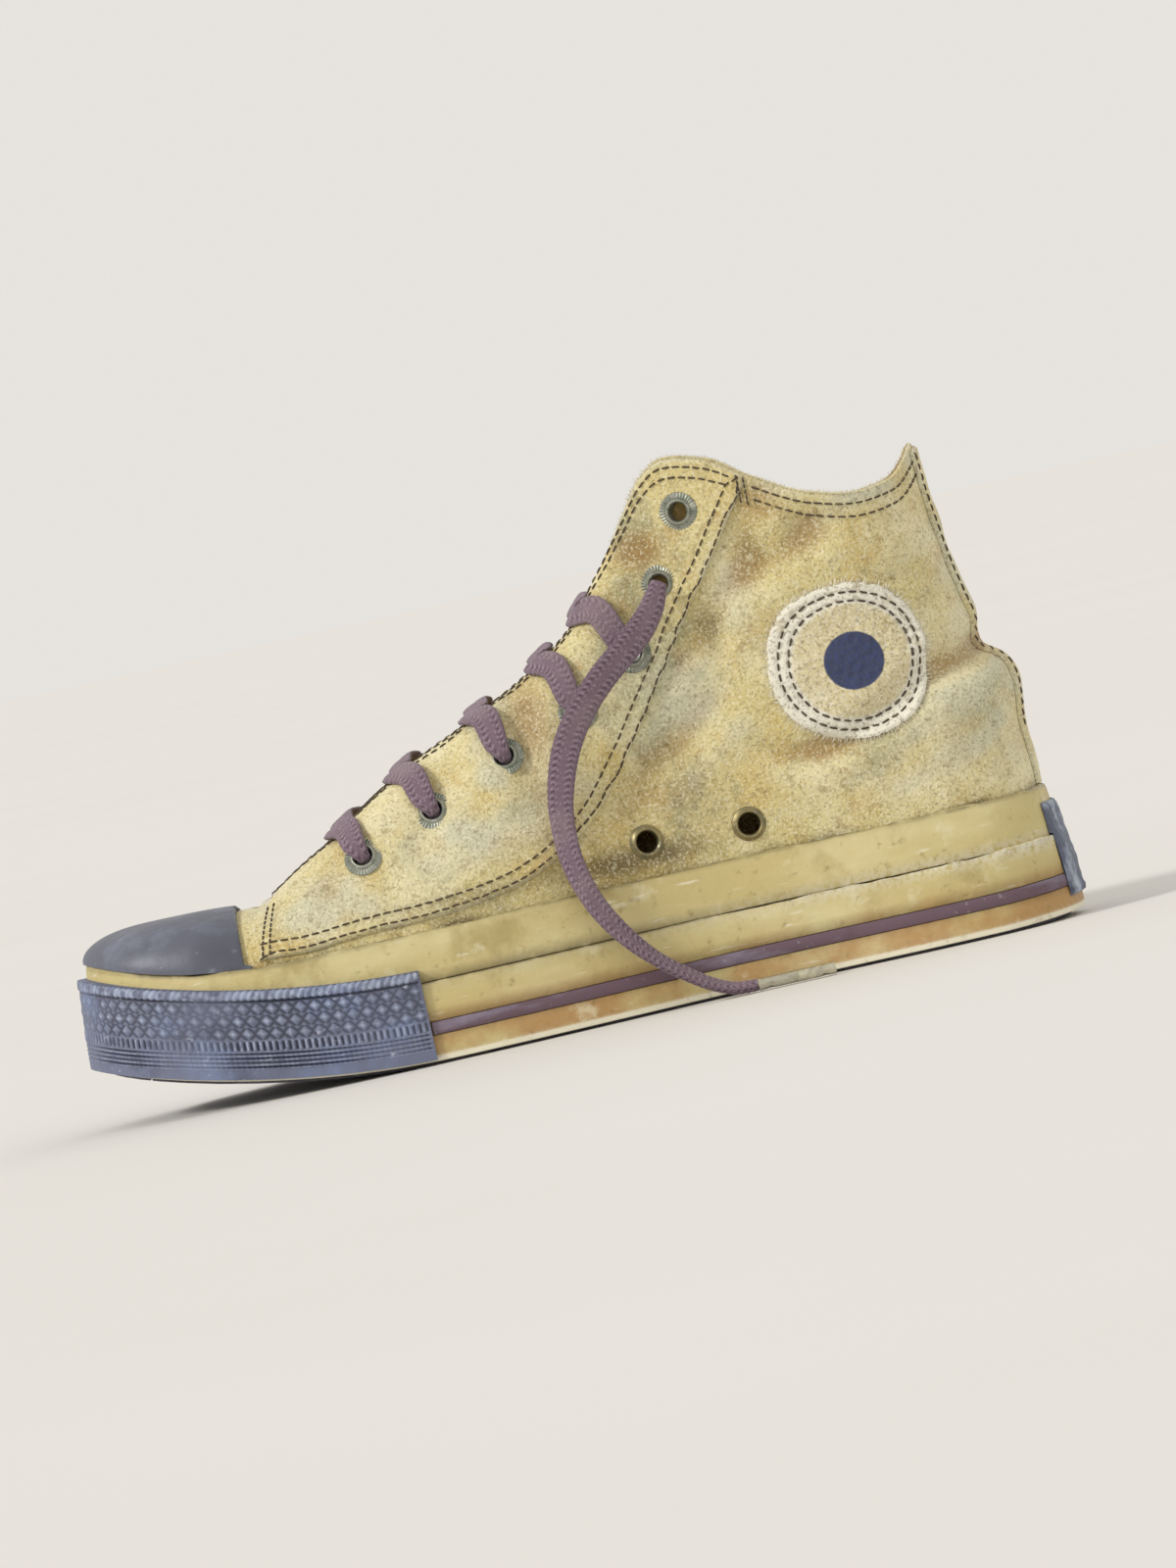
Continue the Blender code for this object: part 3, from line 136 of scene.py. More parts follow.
def pchip(table, x):  # monotone cubic through given (place, value) pairs
    knots, values = np.array(table, float).T
    x = np.clip(np.asarray(x, float), knots[0], knots[-1])
    step = np.diff(knots)
    slope = np.diff(values) / step
    tangent = np.zeros(len(knots))
    tangent[0] = slope[0]
    tangent[-1] = slope[-1]
    for k in range(1, len(knots) - 1):
        if slope[k - 1] * slope[k] > 0:
            before = 2 * step[k] + step[k - 1]
            after = step[k] + 2 * step[k - 1]
            tangent[k] = (before + after) / (before / slope[k - 1] + after / slope[k])
    cell = np.clip(np.searchsorted(knots, x, side="right") - 1, 0, len(step) - 1)
    u = (x - knots[cell]) / step[cell]
    return (
        (2 * u**3 - 3 * u**2 + 1) * values[cell]
        + (u**3 - 2 * u**2 + u) * step[cell] * tangent[cell]
        + (-2 * u**3 + 3 * u**2) * values[cell + 1]
        + (u**3 - u**2) * step[cell] * tangent[cell + 1]
    )


def resample(line, count):  # evenly spaced points along a polyline
    gaps = np.linalg.norm(np.diff(line, axis=0), axis=1)
    along = np.concatenate([[0], np.cumsum(gaps)])
    wanted = np.linspace(0, along[-1], count)
    return np.stack([np.interp(wanted, along, line[:, k]) for k in range(line.shape[1])], 1)


def smoothCurve(points, steps=24, closed=False):
    points = np.asarray(points, float)
    if closed:
        points = np.vstack([points[-2:], points, points[:3]])
    chord = np.linalg.norm(np.diff(points, axis=0), axis=1)
    knots = np.concatenate([[0], np.cumsum(np.sqrt(chord))])
    tangent = np.gradient(points, knots, axis=0)
    first, last = (2, len(points) - 3) if closed else (0, len(points) - 1)
    share = np.linspace(0, 1, steps, endpoint=False)[:, None]
    fine = []
    for k in range(first, last):
        width = knots[k + 1] - knots[k]
        fine.append(
            (2 * share**3 - 3 * share**2 + 1) * points[k]
            + (share**3 - 2 * share**2 + share) * width * tangent[k]
            + (-2 * share**3 + 3 * share**2) * points[k + 1]
            + (share**3 - share**2) * width * tangent[k + 1]
        )
    return np.vstack([*fine, points[last : last + 1]])


def smoothStep(low, high, x):
    share = np.clip((np.asarray(x, float) - low) / (high - low), 0, 1)
    return share * share * (3 - 2 * share)


def unit(vectors):
    return vectors / np.maximum(np.linalg.norm(vectors, axis=-1, keepdims=True), 1e-12)


ringSteps = 600


def planOutline():
    gap, bumper = shoe["gap"], shoe["bumperThickness"]
    half = [
        (shoe["length"] - bumper - shoe["labelThickness"] - 2 * gap) / 2,
        shoe["ballWidth"] / 2 - bumper - gap,
    ]
    ring = smoothCurve(np.array(outlineMedial + outlineLateral) * half, closed=True)
    toe = int(np.argmin(ring[:, 0]))
    medial = resample(ring[: toe + 1], ringSteps + 1)
    lateral = resample(ring[toe:], ringSteps + 1)
    ring = np.vstack([medial[:-1], lateral[:-1]])
    tangent = np.roll(ring, -3, axis=0) - np.roll(ring, 3, axis=0)
    normal = unit(np.stack([-tangent[:, 1], tangent[:, 0]], 1))
    if ((ring - ring.mean(axis=0)) * normal).sum() < 0:
        normal = -normal
    bumperEnd = ring[:, 0].min() - bumper - gap + shoe["bumperLength"]
    proud = np.where(ring[:, 0] < bumperEnd, bumper + gap, 0)[:, None]
    proud[0] = shoe["labelThickness"] + gap
    outer = ring + normal * proud
    middle = (outer.min(axis=0) + outer.max(axis=0)) / 2
    return ring - middle, normal


ring, ringNormal = planOutline()
ringLoop = np.vstack([ring, ring[:1]])
normalLoop = np.vstack([ringNormal, ringNormal[:1]])
toeTip = ring[:, 0].min() - shoe["bumperThickness"] - shoe["gap"]
ballStart = -0.15 * shoe["length"]
sideLength = np.linalg.norm(np.diff(ringLoop, axis=0), axis=1).sum() / 2


def ringAt(side, place):  # side -1 is medial, 1 lateral; place 0 heel, 1 toe
    side, place = np.broadcast_arrays(np.asarray(side, float), np.asarray(place, float))
    along = np.clip(place, 0, 1) * ringSteps
    along = np.where(side > 0, 2 * ringSteps - along, along)
    steps = np.arange(2 * ringSteps + 1)
    point = np.stack([np.interp(along, steps, ringLoop[:, k]) for k in (0, 1)], -1)
    normal = np.stack([np.interp(along, steps, normalLoop[:, k]) for k in (0, 1)], -1)
    return point, unit(normal)


def rise(x):  # height of the tread's lower face
    front = np.clip((ballStart - x) / (ballStart + shoe["length"] / 2), 0, None)
    heelStart = 0.40 * shoe["length"]
    back = np.clip((x - heelStart) / (shoe["length"] / 2 - heelStart), 0, None)
    return shoe["toeSpring"] * front**1.8 + shoe["heelBevel"] * back**2


def edgeTable():
    riseUp = shoe["shaftHeight"] - shoe["toeBoxHeight"]
    half, collarHalf, throatHalf = shoe["length"] / 2, shoe["collarWidth"] / 2, shoe["throatWidth"] / 2
    rows = [(u, x * half, y * collarHalf, z * shoe["shaftHeight"]) for u, x, y, z in collarEdge]
    rows += [(u, x * half, y * throatHalf, shoe["toeBoxHeight"] + z * riseUp) for u, x, y, z in throatEdge]
    return np.array(rows)


edgeRows = edgeTable()


def topEdge(side, place):
    side, place = np.broadcast_arrays(np.asarray(side, float), np.asarray(place, float))
    x = pchip(edgeRows[:, [0, 1]], place)
    y = pchip(edgeRows[:, [0, 2]], place)
    z = pchip(edgeRows[:, [0, 3]], place)
    middle = pchip(middleLine, x / (shoe["length"] / 2)) * shoe["ballWidth"] / 2
    return np.stack([x, middle + side * y, z], -1)


def lastPoint(side, place, share):  # the upper's outer surface
    side, place, share = np.broadcast_arrays(*(np.asarray(v, float) for v in (side, place, share)))
    place, share = np.clip(place, 0, 1), np.clip(share, 0, 1)
    point, normal = ringAt(side, place)
    foot = point - normal * (shoe["sidewall"] + shoe["gap"])
    low = rise(point[..., 0]) + shoe["floorTop"] + shoe["seatGap"]
    top = topEdge(side, place)
    front = smoothStep(0.28, 0.52, place)
    full = pchip(fullness, place)
    fullTurn = shoe["edgeTurn"] * math.pi / 2
    angle = share * fullTurn
    insetFront = (1 - np.cos(angle) ** (2 / full)) / (1 - math.cos(fullTurn) ** (2 / full))
    upFront = (np.sin(angle) / math.sin(fullTurn)) ** (2 / full)
    inset = front * insetFront + (1 - front) * pchip(rearInset, share)
    up = front * upFront + (1 - front) * share
    tuck = normal * (shoe["wallTuck"] * pchip(tuckIn, share))[..., None]
    plan = foot + (top[..., :2] - foot) * inset[..., None] - tuck
    return np.concatenate([plan, (low + (top[..., 2] - low) * up)[..., None]], -1)


def lastNormal(side, place, share, step=0.01):
    side, place, share = np.broadcast_arrays(*(np.asarray(v, float) for v in (side, place, share)))
    nearToe, nearHeel = place > 1 - step, place < step
    aheadSide = np.where(nearToe, -side, side)
    aheadPlace = np.where(nearToe, 1 - step, np.where(nearHeel, step, place + step))
    behindSide = np.where(nearHeel, -side, side)
    behindPlace = np.where(nearToe, 1 - step, np.where(nearHeel, step, place - step))
    across = lastPoint(aheadSide, aheadPlace, share) - lastPoint(behindSide, behindPlace, share)
    upward = lastPoint(side, place, share + step) - lastPoint(side, place, share - step)
    return unit(np.cross(across, upward) * side[..., None])


def shareAt(side, place, height):  # height share at which the wall reaches a height
    side, place, height = np.broadcast_arrays(*(np.asarray(v, float) for v in (side, place, height)))
    low, high = np.zeros(place.shape), np.ones(place.shape)
    for _ in range(26):
        middle = (low + high) / 2
        below = lastPoint(side, place, middle)[..., 2] < height
        low, high = np.where(below, middle, low), np.where(below, high, middle)
    return (low + high) / 2


def foxingTop(side, place):
    x = ringAt(side, place)[0][..., 0]
    toe = smoothStep(0.13 * shoe["length"], 0.42 * shoe["length"], -x)
    return shoe["foxingTop"] + (shoe["foxingTopAtToe"] - shoe["foxingTop"]) * toe


def wallPoint(side, place, height, proud=0.0):  # point on the sidewall's outer face
    point, normal = ringAt(side, place)
    height = np.asarray(height, float)
    leaning = -shoe["lean"] * (np.clip(height, 0, None) / shoe["bandTop"]) ** 1.2
    plan = point + normal * np.asarray(leaning + proud)[..., None]
    return np.concatenate([plan, (rise(point[..., 0]) + shoe["outsoleStep"] + height)[..., None]], -1)


def onWall(side, x, z):  # place and height share where the wall passes a given x and z
    lowPlace, highPlace, lowShare, highShare = 0.02, 0.95, 0.05, 1.0
    for _ in range(7):
        places, shares = np.meshgrid(
            np.linspace(lowPlace, highPlace, 30), np.linspace(lowShare, highShare, 30), indexing="ij"
        )
        spots = lastPoint(side, places, shares)
        miss = np.hypot(spots[..., 0] - x, spots[..., 2] - z)
        best = np.unravel_index(int(np.argmin(miss)), miss.shape)
        place, share = places[best], shares[best]
        spanPlace, spanShare = (highPlace - lowPlace) / 8, (highShare - lowShare) / 8
        lowPlace, highPlace = max(0.0, place - spanPlace), min(1.0, place + spanPlace)
        lowShare, highShare = max(0.0, share - spanShare), min(1.0, share + spanShare)
    return float(place), float(share)


def softNoise(points, size, seed, waves=7):  # smooth, repeatable, about -1 to 1
    draw = np.random.default_rng(seed)
    total = np.zeros(points.shape[:-1])
    for _ in range(waves):
        direction = draw.normal(size=3)
        direction /= np.linalg.norm(direction)
        wave = size * draw.uniform(0.7, 1.6)
        total += np.sin(points @ direction * 2 * math.pi / wave + draw.uniform(0, 6.28))
    return total / math.sqrt(waves)


# Creases, bulges and slack of the worn upper, in the shoe's own millimetres

creases = [
    # side (0 both), path in x and z, half width, depth (minus stands proud)
    {"side": -1, "path": [(150, 86), (137, 86), (128, 82), (117, 80), (100, 70), (83, 65), (63, 67)],
     "wide": 4.2, "deep": 2.6},
    {"side": -1, "path": [(150, 73), (136, 73), (124, 69), (110, 62)], "wide": 8, "deep": -1.8},
    {"side": -1, "path": [(150, 97), (134, 97), (122, 92)], "wide": 7, "deep": -0.8},
    {"side": -1, "path": [(101, 132), (89, 127), (78, 122), (66, 112)], "wide": 5.5, "deep": 1.7},
    {"side": -1, "path": [(78, 144), (72, 127), (63, 114), (50, 100), (38, 88)], "wide": 5, "deep": 1.5},
    {"side": -1, "path": [(86, 143), (82, 132), (76, 126)], "wide": 5, "deep": -0.9},
    {"side": -1, "path": [(4, 103), (-2, 90), (-3, 76), (4, 62)], "wide": 5, "deep": 1.6},
    {"side": -1, "path": [(-12, 97), (-15, 84), (-14, 72)], "wide": 6, "deep": -0.9},
    {"side": -1, "path": [(60, 92), (46, 80), (30, 70), (16, 60)], "wide": 6, "deep": 1.3},
    {"side": -1, "path": [(68, 82), (52, 70), (38, 60), (24, 52)], "wide": 6, "deep": -0.8},
    {"side": -1, "path": [(-28, 82), (-36, 70), (-40, 56)], "wide": 5, "deep": 0.9},
    {"side": -1, "path": [(-56, 74), (-66, 62), (-70, 50)], "wide": 4.5, "deep": 0.8},
    {"side": 1, "path": [(150, 84), (136, 85), (124, 79), (108, 76), (92, 66), (76, 60)],
     "wide": 4.6, "deep": 2.4},
    {"side": 1, "path": [(150, 72), (134, 71), (120, 66), (104, 60)], "wide": 8, "deep": -1.5},
    {"side": 1, "path": [(132, 112), (116, 106), (98, 100), (84, 88)], "wide": 5, "deep": 1.8},
    {"side": 1, "path": [(124, 126), (108, 121), (92, 116), (80, 106)], "wide": 6, "deep": -1.0},
    {"side": 1, "path": [(104, 138), (90, 128), (76, 124), (66, 114)], "wide": 5, "deep": 1.5},
    {"side": 1, "path": [(84, 146), (72, 130), (62, 112), (52, 96)], "wide": 5, "deep": 1.3},
    {"side": 1, "path": [(62, 92), (44, 82), (26, 72), (12, 60)], "wide": 5.5, "deep": 1.6},
    {"side": 1, "path": [(0, 100), (-6, 84), (-4, 70), (4, 58)], "wide": 5, "deep": 1.5},
    {"side": 1, "path": [(-20, 90), (-28, 76), (-28, 62)], "wide": 5.5, "deep": -0.9},
    {"side": 1, "path": [(-34, 80), (-44, 66), (-46, 54)], "wide": 5, "deep": 1.1},
    {"side": 1, "path": [(-58, 72), (-66, 60), (-70, 50)], "wide": 4.5, "deep": 0.8},
]

# Worn, soiled and bleached places: side, x and z in mm, reach along x and z, strength. The brown spots are partly real
# stains and partly painted shade laid along crease troughs.
paleSpots = [
    (-1, -26, 61, 26, 9, 0.9), (-1, 44, 86, 13, 15, 0.9), (-1, 66, 117, 8, 18, 0.8),
    (-1, 121, 62, 22, 17, 0.8), (-1, 96, 132, 16, 9, 0.45), (-1, -70, 52, 24, 9, 0.9),
    (-1, 8, 70, 12, 9, 0.5), (-1, 90, 50, 20, 7, 0.6), (1, 118, 62, 24, 16, 0.8),
    (1, 20, 66, 24, 12, 0.6), (1, 88, 124, 18, 14, 0.6), (1, -52, 56, 30, 9, 0.8),
    (1, 52, 110, 9, 18, 0.5), (-1, 132, 100, 10, 26, 0.5),
]
# brown spots: real stains near the eyelets, and painted shade in the crease troughs
brownSpots = [
    (-1, 42, 133, 9, 7, 1.0), (-1, 0, 91, 8, 15, 0.9), (-1, 79, 140, 8, 8, 0.7),
    (-1, 76, 100, 12, 12, 0.45), (-1, 30, 62, 18, 7, 0.6), (-1, 120, 84, 12, 6, 0.5),
    (-1, -8, 58, 14, 6, 0.4), (1, 100, 104, 18, 7, 0.7), (1, 60, 88, 18, 8, 0.6),
    (1, -6, 84, 8, 14, 0.8), (1, 74, 136, 9, 8, 0.6), (1, 30, 58, 20, 6, 0.6),
    (-1, 26, 118, 8, 8, 0.6), (1, 28, 116, 8, 8, 0.7),
]
soilSpots = [
    (-1, 20, 45, 30, 5, 0.9), (-1, -30, 46, 30, 4, 0.5), (1, 20, 46, 40, 5, 0.8),
    (-1, 74, 128, 6, 10, 0.5), (-1, 56, 108, 6, 10, 0.5), (1, 110, 86, 16, 5, 0.5),
]
redSpots = [(1, 58, 74, 13, 10, 0.8), (1, 66, 68, 6, 5, 0.5)]


def pathDistance(x, z, path):  # distance to a smooth path in the side view, and how far along it
    line = resample(smoothCurve(np.array(path, float) * mm, 8), 7 * len(path))
    best = np.full(x.shape, 1e9)
    where = np.zeros(x.shape)
    for k in range(len(line) - 1):
        start, step = line[k], line[k + 1] - line[k]
        share = np.clip(((x - start[0]) * step[0] + (z - start[1]) * step[1]) / (step @ step), 0, 1)
        away = np.hypot(x - start[0] - share * step[0], z - start[1] - share * step[1])
        closer = away < best
        best = np.where(closer, away, best)
        where = np.where(closer, (k + share) / (len(line) - 1), where)
    return best, where


def foldHeight(side, points, share):  # how far the worn wall stands off the last's own surface
    x, z = points[..., 0], points[..., 2]
    height = np.array(0.35 * mm * softNoise(points, 34 * mm, 5) + 0.16 * mm * softNoise(points, 11 * mm, 6))
    side = np.broadcast_to(side, x.shape)
    for crease in creases:
        mask = side == crease["side"]
        if not mask.any():
            continue
        away, where = pathDistance(x[mask], z[mask], crease["path"])
        fade = smoothStep(0, 0.22, 1 - where)
        if crease["path"][0][0] < 145:
            fade = fade * smoothStep(0, 0.22, where)
        profile = np.exp(-((away / (crease["wide"] * mm)) ** 2))
        lips = np.exp(-(((away - 1.9 * crease["wide"] * mm) / (crease["wide"] * mm)) ** 2))
        height[mask] += crease["deep"] * mm * fade * (0.22 * lips - profile)
    aboveFoxing = z - rise(x) - shoe["outsoleStep"] - shoe["foxingTopAtToe"]
    height *= smoothStep(2 * mm, 16 * mm, aboveFoxing)
    return height * (1 - 0.75 * smoothStep(0.93, 1.0, share))


def worn(side, place, share, lift=0.0):  # a point of the worn upper, and the outward direction there
    side, place, share = np.broadcast_arrays(*(np.asarray(v, float) for v in (side, place, share)))
    base = lastPoint(side, place, share)
    normal = lastNormal(side, place, share)
    height = foldHeight(side, base, share)
    return base + normal * (height + lift)[..., None], normal


def spotValue(side, points, spots):
    x, z = points[..., 0] / mm, points[..., 2] / mm
    total = np.zeros(x.shape)
    for spotSide, spotX, spotZ, reachX, reachZ, amount in spots:
        near = np.exp(-((x - spotX) / reachX) ** 2 - ((z - spotZ) / reachZ) ** 2)
        total = np.maximum(total, np.where(side == spotSide, amount * near, 0))
    return total


# Colours and materials

def hexColour(code):
    channels = [int(code[k : k + 2], 16) / 255 for k in (0, 2, 4)]
    return (*[c / 12.92 if c <= 0.04045 else ((c + 0.055) / 1.055) ** 2.4 for c in channels], 1.0)


def addNode(tree, kind, links=None, **settings):  # a node with its settings and what goes into it
    made = tree.nodes.new(kind)
    for key, value in settings.items():
        setattr(made, key, value)
    for socket, value in (links or {}).items():
        if isinstance(value, bpy.types.NodeSocket):
            tree.links.new(value, made.inputs[socket])
        else:
            made.inputs[socket].default_value = value
    return made


def makeFinish(name, base, roughness, layers, bumps, **constants):
    # layers: colour, size in mm, where the pattern starts and is full, amount, and options
    material = bpy.data.materials.new(name)
    material.use_nodes = True
    tree = material.node_tree
    shader = tree.nodes["Principled BSDF"]
    for key, value in constants.items():
        shader.inputs[key.replace("_", " ")].default_value = value
    place = addNode(tree, "ShaderNodeTexCoord")
    colour = None
    rough = None

    def pattern(layer, shift):
        if layer.get("attribute") and not layer.get("size"):
            return addNode(tree, "ShaderNodeAttribute", attribute_name=layer["attribute"]).outputs["Fac"]
        mapped = addNode(
            tree, "ShaderNodeMapping",
            {"Vector": place.outputs["Object"], "Location": (shift, 0.37 * shift, 0.11 * shift),
             "Scale": layer.get("stretch", (1, 1, 1)), "Rotation": layer.get("turn", (0, 0, 0))},
        ).outputs[0]
        scale = 1 / (layer["size"] * mm)
        if layer.get("kind") == "wave":
            links = {"Vector": mapped, "Scale": scale / 2, "Distortion": 0.0, "Detail": 2.0}
            return addNode(tree, "ShaderNodeTexWave", links, wave_profile="SIN").outputs["Fac"]
        links = {"Vector": mapped, "Scale": scale, "Detail": layer.get("detail", 4.0), "Roughness": 0.6}
        return addNode(tree, "ShaderNodeTexNoise", links).outputs["Fac"]

    for k, layer in enumerate(layers):
        mask = addNode(
            tree, "ShaderNodeMapRange",
            {"Value": pattern(layer, 3.1 * k + 0.7), "From Min": layer["start"], "From Max": layer["full"],
             "To Min": 0.0, "To Max": layer["amount"]},
            interpolation_type="SMOOTHSTEP",
        ).outputs["Result"]
        if layer.get("attribute") and layer.get("size"):
            part = addNode(tree, "ShaderNodeAttribute", attribute_name=layer["attribute"]).outputs["Fac"]
            mask = addNode(tree, "ShaderNodeMath", {0: mask, 1: part}, operation="MULTIPLY").outputs[0]
        below = colour if colour is not None else hexColour(base)
        links = {0: mask, 6: below, 7: hexColour(layer["colour"])}
        colour = addNode(tree, "ShaderNodeMix", links, data_type="RGBA").outputs[2]
        if "roughness" in layer:
            links = {0: mask, 2: rough if rough is not None else roughness, 3: layer["roughness"]}
            rough = addNode(tree, "ShaderNodeMix", links, data_type="FLOAT").outputs[0]
    if colour is None:
        shader.inputs["Base Color"].default_value = hexColour(base)
    else:
        tree.links.new(colour, shader.inputs["Base Color"])
    if rough is None:
        shader.inputs["Roughness"].default_value = roughness
    else:
        tree.links.new(rough, shader.inputs["Roughness"])
    last = None
    for k, bump in enumerate(bumps):
        links = {"Height": pattern(bump, 1.7 * k + 5.3), "Distance": bump["deep"] * mm, "Strength": 1.0}
        if last is not None:
            links["Normal"] = last
        last = addNode(tree, "ShaderNodeBump", links).outputs["Normal"]
    if last is not None:
        tree.links.new(last, shader.inputs["Normal"])
    material.diffuse_color = hexColour(base)
    return material


# Split cowhide suede, brushed and worn: a deep mottled nap without gloss
suedeLayers = [
    {"colour": "CBAE62", "size": 27, "start": 0.49, "full": 0.66, "amount": 0.55, "detail": 6.0},
    {"colour": "E8E0B6", "size": 34, "start": 0.45, "full": 0.63, "amount": 0.80, "detail": 7.0},
    {"colour": "9C9C7D", "size": 21, "start": 0.53, "full": 0.68, "amount": 0.65, "detail": 7.0},
    {"colour": "B7924F", "size": 9, "start": 0.55, "full": 0.70, "amount": 0.45, "detail": 6.0},
    {"colour": "CCCBB2", "attribute": "pale", "start": 0.05, "full": 0.9, "amount": 0.82},
    # this layer paints real stains, and painted shade in the crease valleys and on the inner face
    {"colour": "96703A", "attribute": "brown", "start": 0.05, "full": 1.0, "amount": 0.75},
    # this layer paints real soil, and painted shade on the inner face
    {"colour": "54472E", "attribute": "soilAndShade", "start": 0.05, "full": 1.0, "amount": 0.80},
    {"colour": "A65F4A", "attribute": "red", "start": 0.1, "full": 1.0, "amount": 0.55},
    {"colour": "7F6433", "size": 4.0, "start": 0.54, "full": 0.72, "amount": 0.45, "detail": 5.0},
    {"colour": "6F5D36", "size": 0.95, "start": 0.50, "full": 0.65, "amount": 0.44, "detail": 3.0},
    {"colour": "F0E9C8", "size": 0.85, "start": 0.50, "full": 0.64, "amount": 0.50, "detail": 3.0},
]
suedeBumps = [
    {"size": 7.0, "deep": 0.6, "detail": 3.0},
    {"size": 1.0, "deep": 0.42, "detail": 3.0},
    {"size": 0.5, "deep": 0.12, "detail": 2.0},
]
suede = makeFinish(
    "splitSuede", "D3C48B", 0.96, suedeLayers, suedeBumps,
    Sheen_Weight=0.25, Sheen_Roughness=0.6, Specular_IOR_Level=0.15,
)

# Tongue of a thinner, browner split
tongueSuede = makeFinish(
    "tongueSuede", "A98F55", 0.97,
    [
        {"colour": "C4AC72", "size": 16, "start": 0.45, "full": 0.7, "amount": 0.6, "detail": 5.0},
        {"colour": "7D6638", "size": 9, "start": 0.5, "full": 0.75, "amount": 0.5, "detail": 5.0},
        {"colour": "6A5733", "size": 1.6, "start": 0.52, "full": 0.72, "amount": 0.45, "detail": 2.0},
        {"colour": "D9C694", "size": 1.5, "start": 0.54, "full": 0.72, "amount": 0.5, "detail": 2.0},
    ],
    [{"size": 1.6, "deep": 0.45, "detail": 3.0}],
    Sheen_Weight=0.2, Sheen_Roughness=0.6, Specular_IOR_Level=0.15,
)

# Vulcanised natural rubber strip, yellowed: dull satin with blotches, dirt in the seams and chalky crumbs
foxingLayers = [
    {"colour": "DDD3A2", "size": 40, "start": 0.45, "full": 0.66, "amount": 0.8, "detail": 4.0, "stretch": (0.5, 0.5, 1.4)},
    {"colour": "A4955C", "size": 24, "start": 0.50, "full": 0.68, "amount": 0.65, "detail": 6.0},
    {"colour": "AE7F49", "attribute": "tan", "size": 26, "start": 0.28, "full": 0.56, "amount": 0.80, "detail": 6.0},
    {"colour": "EDE8D2", "attribute": "rim", "start": 0.3, "full": 0.8, "amount": 0.95, "roughness": 0.85},
    {"colour": "EBE6D0", "attribute": "chalk", "size": 1.6, "start": 0.36, "full": 0.56, "amount": 0.95, "detail": 5.0, "roughness": 0.9},
    {"colour": "E6DFBE", "size": 13, "start": 0.58, "full": 0.70, "amount": 0.55, "detail": 8.0, "roughness": 0.75},
    {"colour": "EFE9D2", "size": 5, "start": 0.62, "full": 0.70, "amount": 0.60, "detail": 8.0, "roughness": 0.8,
     "stretch": (0.25, 0.25, 2.4), "turn": (0, 0.5, 0)},
    {"colour": "75632F", "size": 3.2, "start": 0.58, "full": 0.72, "amount": 0.40, "detail": 7.0},
    {"colour": "4B4029", "attribute": "seam", "size": 6, "start": 0.20, "full": 0.55, "amount": 0.9, "detail": 5.0},
]
foxingBumps = [
    {"size": 14.0, "deep": 0.6, "detail": 4.0},
    {"size": 1.6, "deep": 0.12, "detail": 6.0},
]
foxingRubber = makeFinish(
    "yellowedRubber", "CBBD84", 0.48, foxingLayers, foxingBumps, Specular_IOR_Level=0.4,
)

# Calendered rubber stripe, mauve-brown, rubbed pale on its high places
stripeRubber = makeFinish(
    "stripeRubber", "69545F", 0.55,
    [
        {"colour": "8B8294", "size": 15, "start": 0.48, "full": 0.7, "amount": 0.8, "detail": 7.0, "stretch": (0.5, 0.5, 2)},
        {"colour": "A9A6AE", "size": 2.4, "start": 0.60, "full": 0.74, "amount": 0.5, "detail": 5.0},
        {"colour": "4B3D46", "size": 6, "start": 0.55, "full": 0.75, "amount": 0.4, "detail": 4.0},
    ],
    [{"size": 2.0, "deep": 0.1}],
    Specular_IOR_Level=0.4,
)

# Moulded rubber of the toe bumper, blue-grey, scuffed pale on the raised pattern, with painted shade darkening its
# recesses
bumperLayers = [
    {"colour": "4C4F63", "size": 24, "start": 0.45, "full": 0.66, "amount": 0.70, "detail": 5.0},
    {"colour": "7787AB", "size": 18, "start": 0.50, "full": 0.68, "amount": 0.60, "detail": 6.0},
    {"colour": "A9B4CB", "attribute": "high", "size": 3.5, "start": 0.36, "full": 0.60, "amount": 0.80, "detail": 6.0, "roughness": 0.75},
    # painted shade: the recesses of the moulded pattern are darkened
    {"colour": "2B2D3B", "attribute": "deep", "start": 0.05, "full": 0.8, "amount": 0.80},
    {"colour": "C4CAD6", "size": 2.2, "start": 0.62, "full": 0.72, "amount": 0.6, "detail": 8.0, "stretch": (0.6, 1, 1)},
]
bumperRubber = makeFinish(
    "mouldedBumperRubber", "6B7188", 0.55, bumperLayers,
    [{"size": 1.4, "deep": 0.10, "detail": 5.0}], Specular_IOR_Level=0.4,
)

# Smooth rubber sheet of the toe cap, dark grey, softly scuffed
capRubber = makeFinish(
    "toeCapRubber", "5B5E6B", 0.45,
    [
        {"colour": "7C8294", "size": 22, "start": 0.46, "full": 0.7, "amount": 0.7, "detail": 6.0},
        {"colour": "454855", "size": 30, "start": 0.5, "full": 0.75, "amount": 0.5, "detail": 4.0},
        {"colour": "A7ACB8", "size": 3.0, "start": 0.62, "full": 0.75, "amount": 0.55, "detail": 8.0, "stretch": (0.4, 1, 1), "roughness": 0.75},
    ],
    [{"size": 12.0, "deep": 0.25}, {"size": 1.0, "deep": 0.06, "detail": 4.0}],
    Specular_IOR_Level=0.45,
)

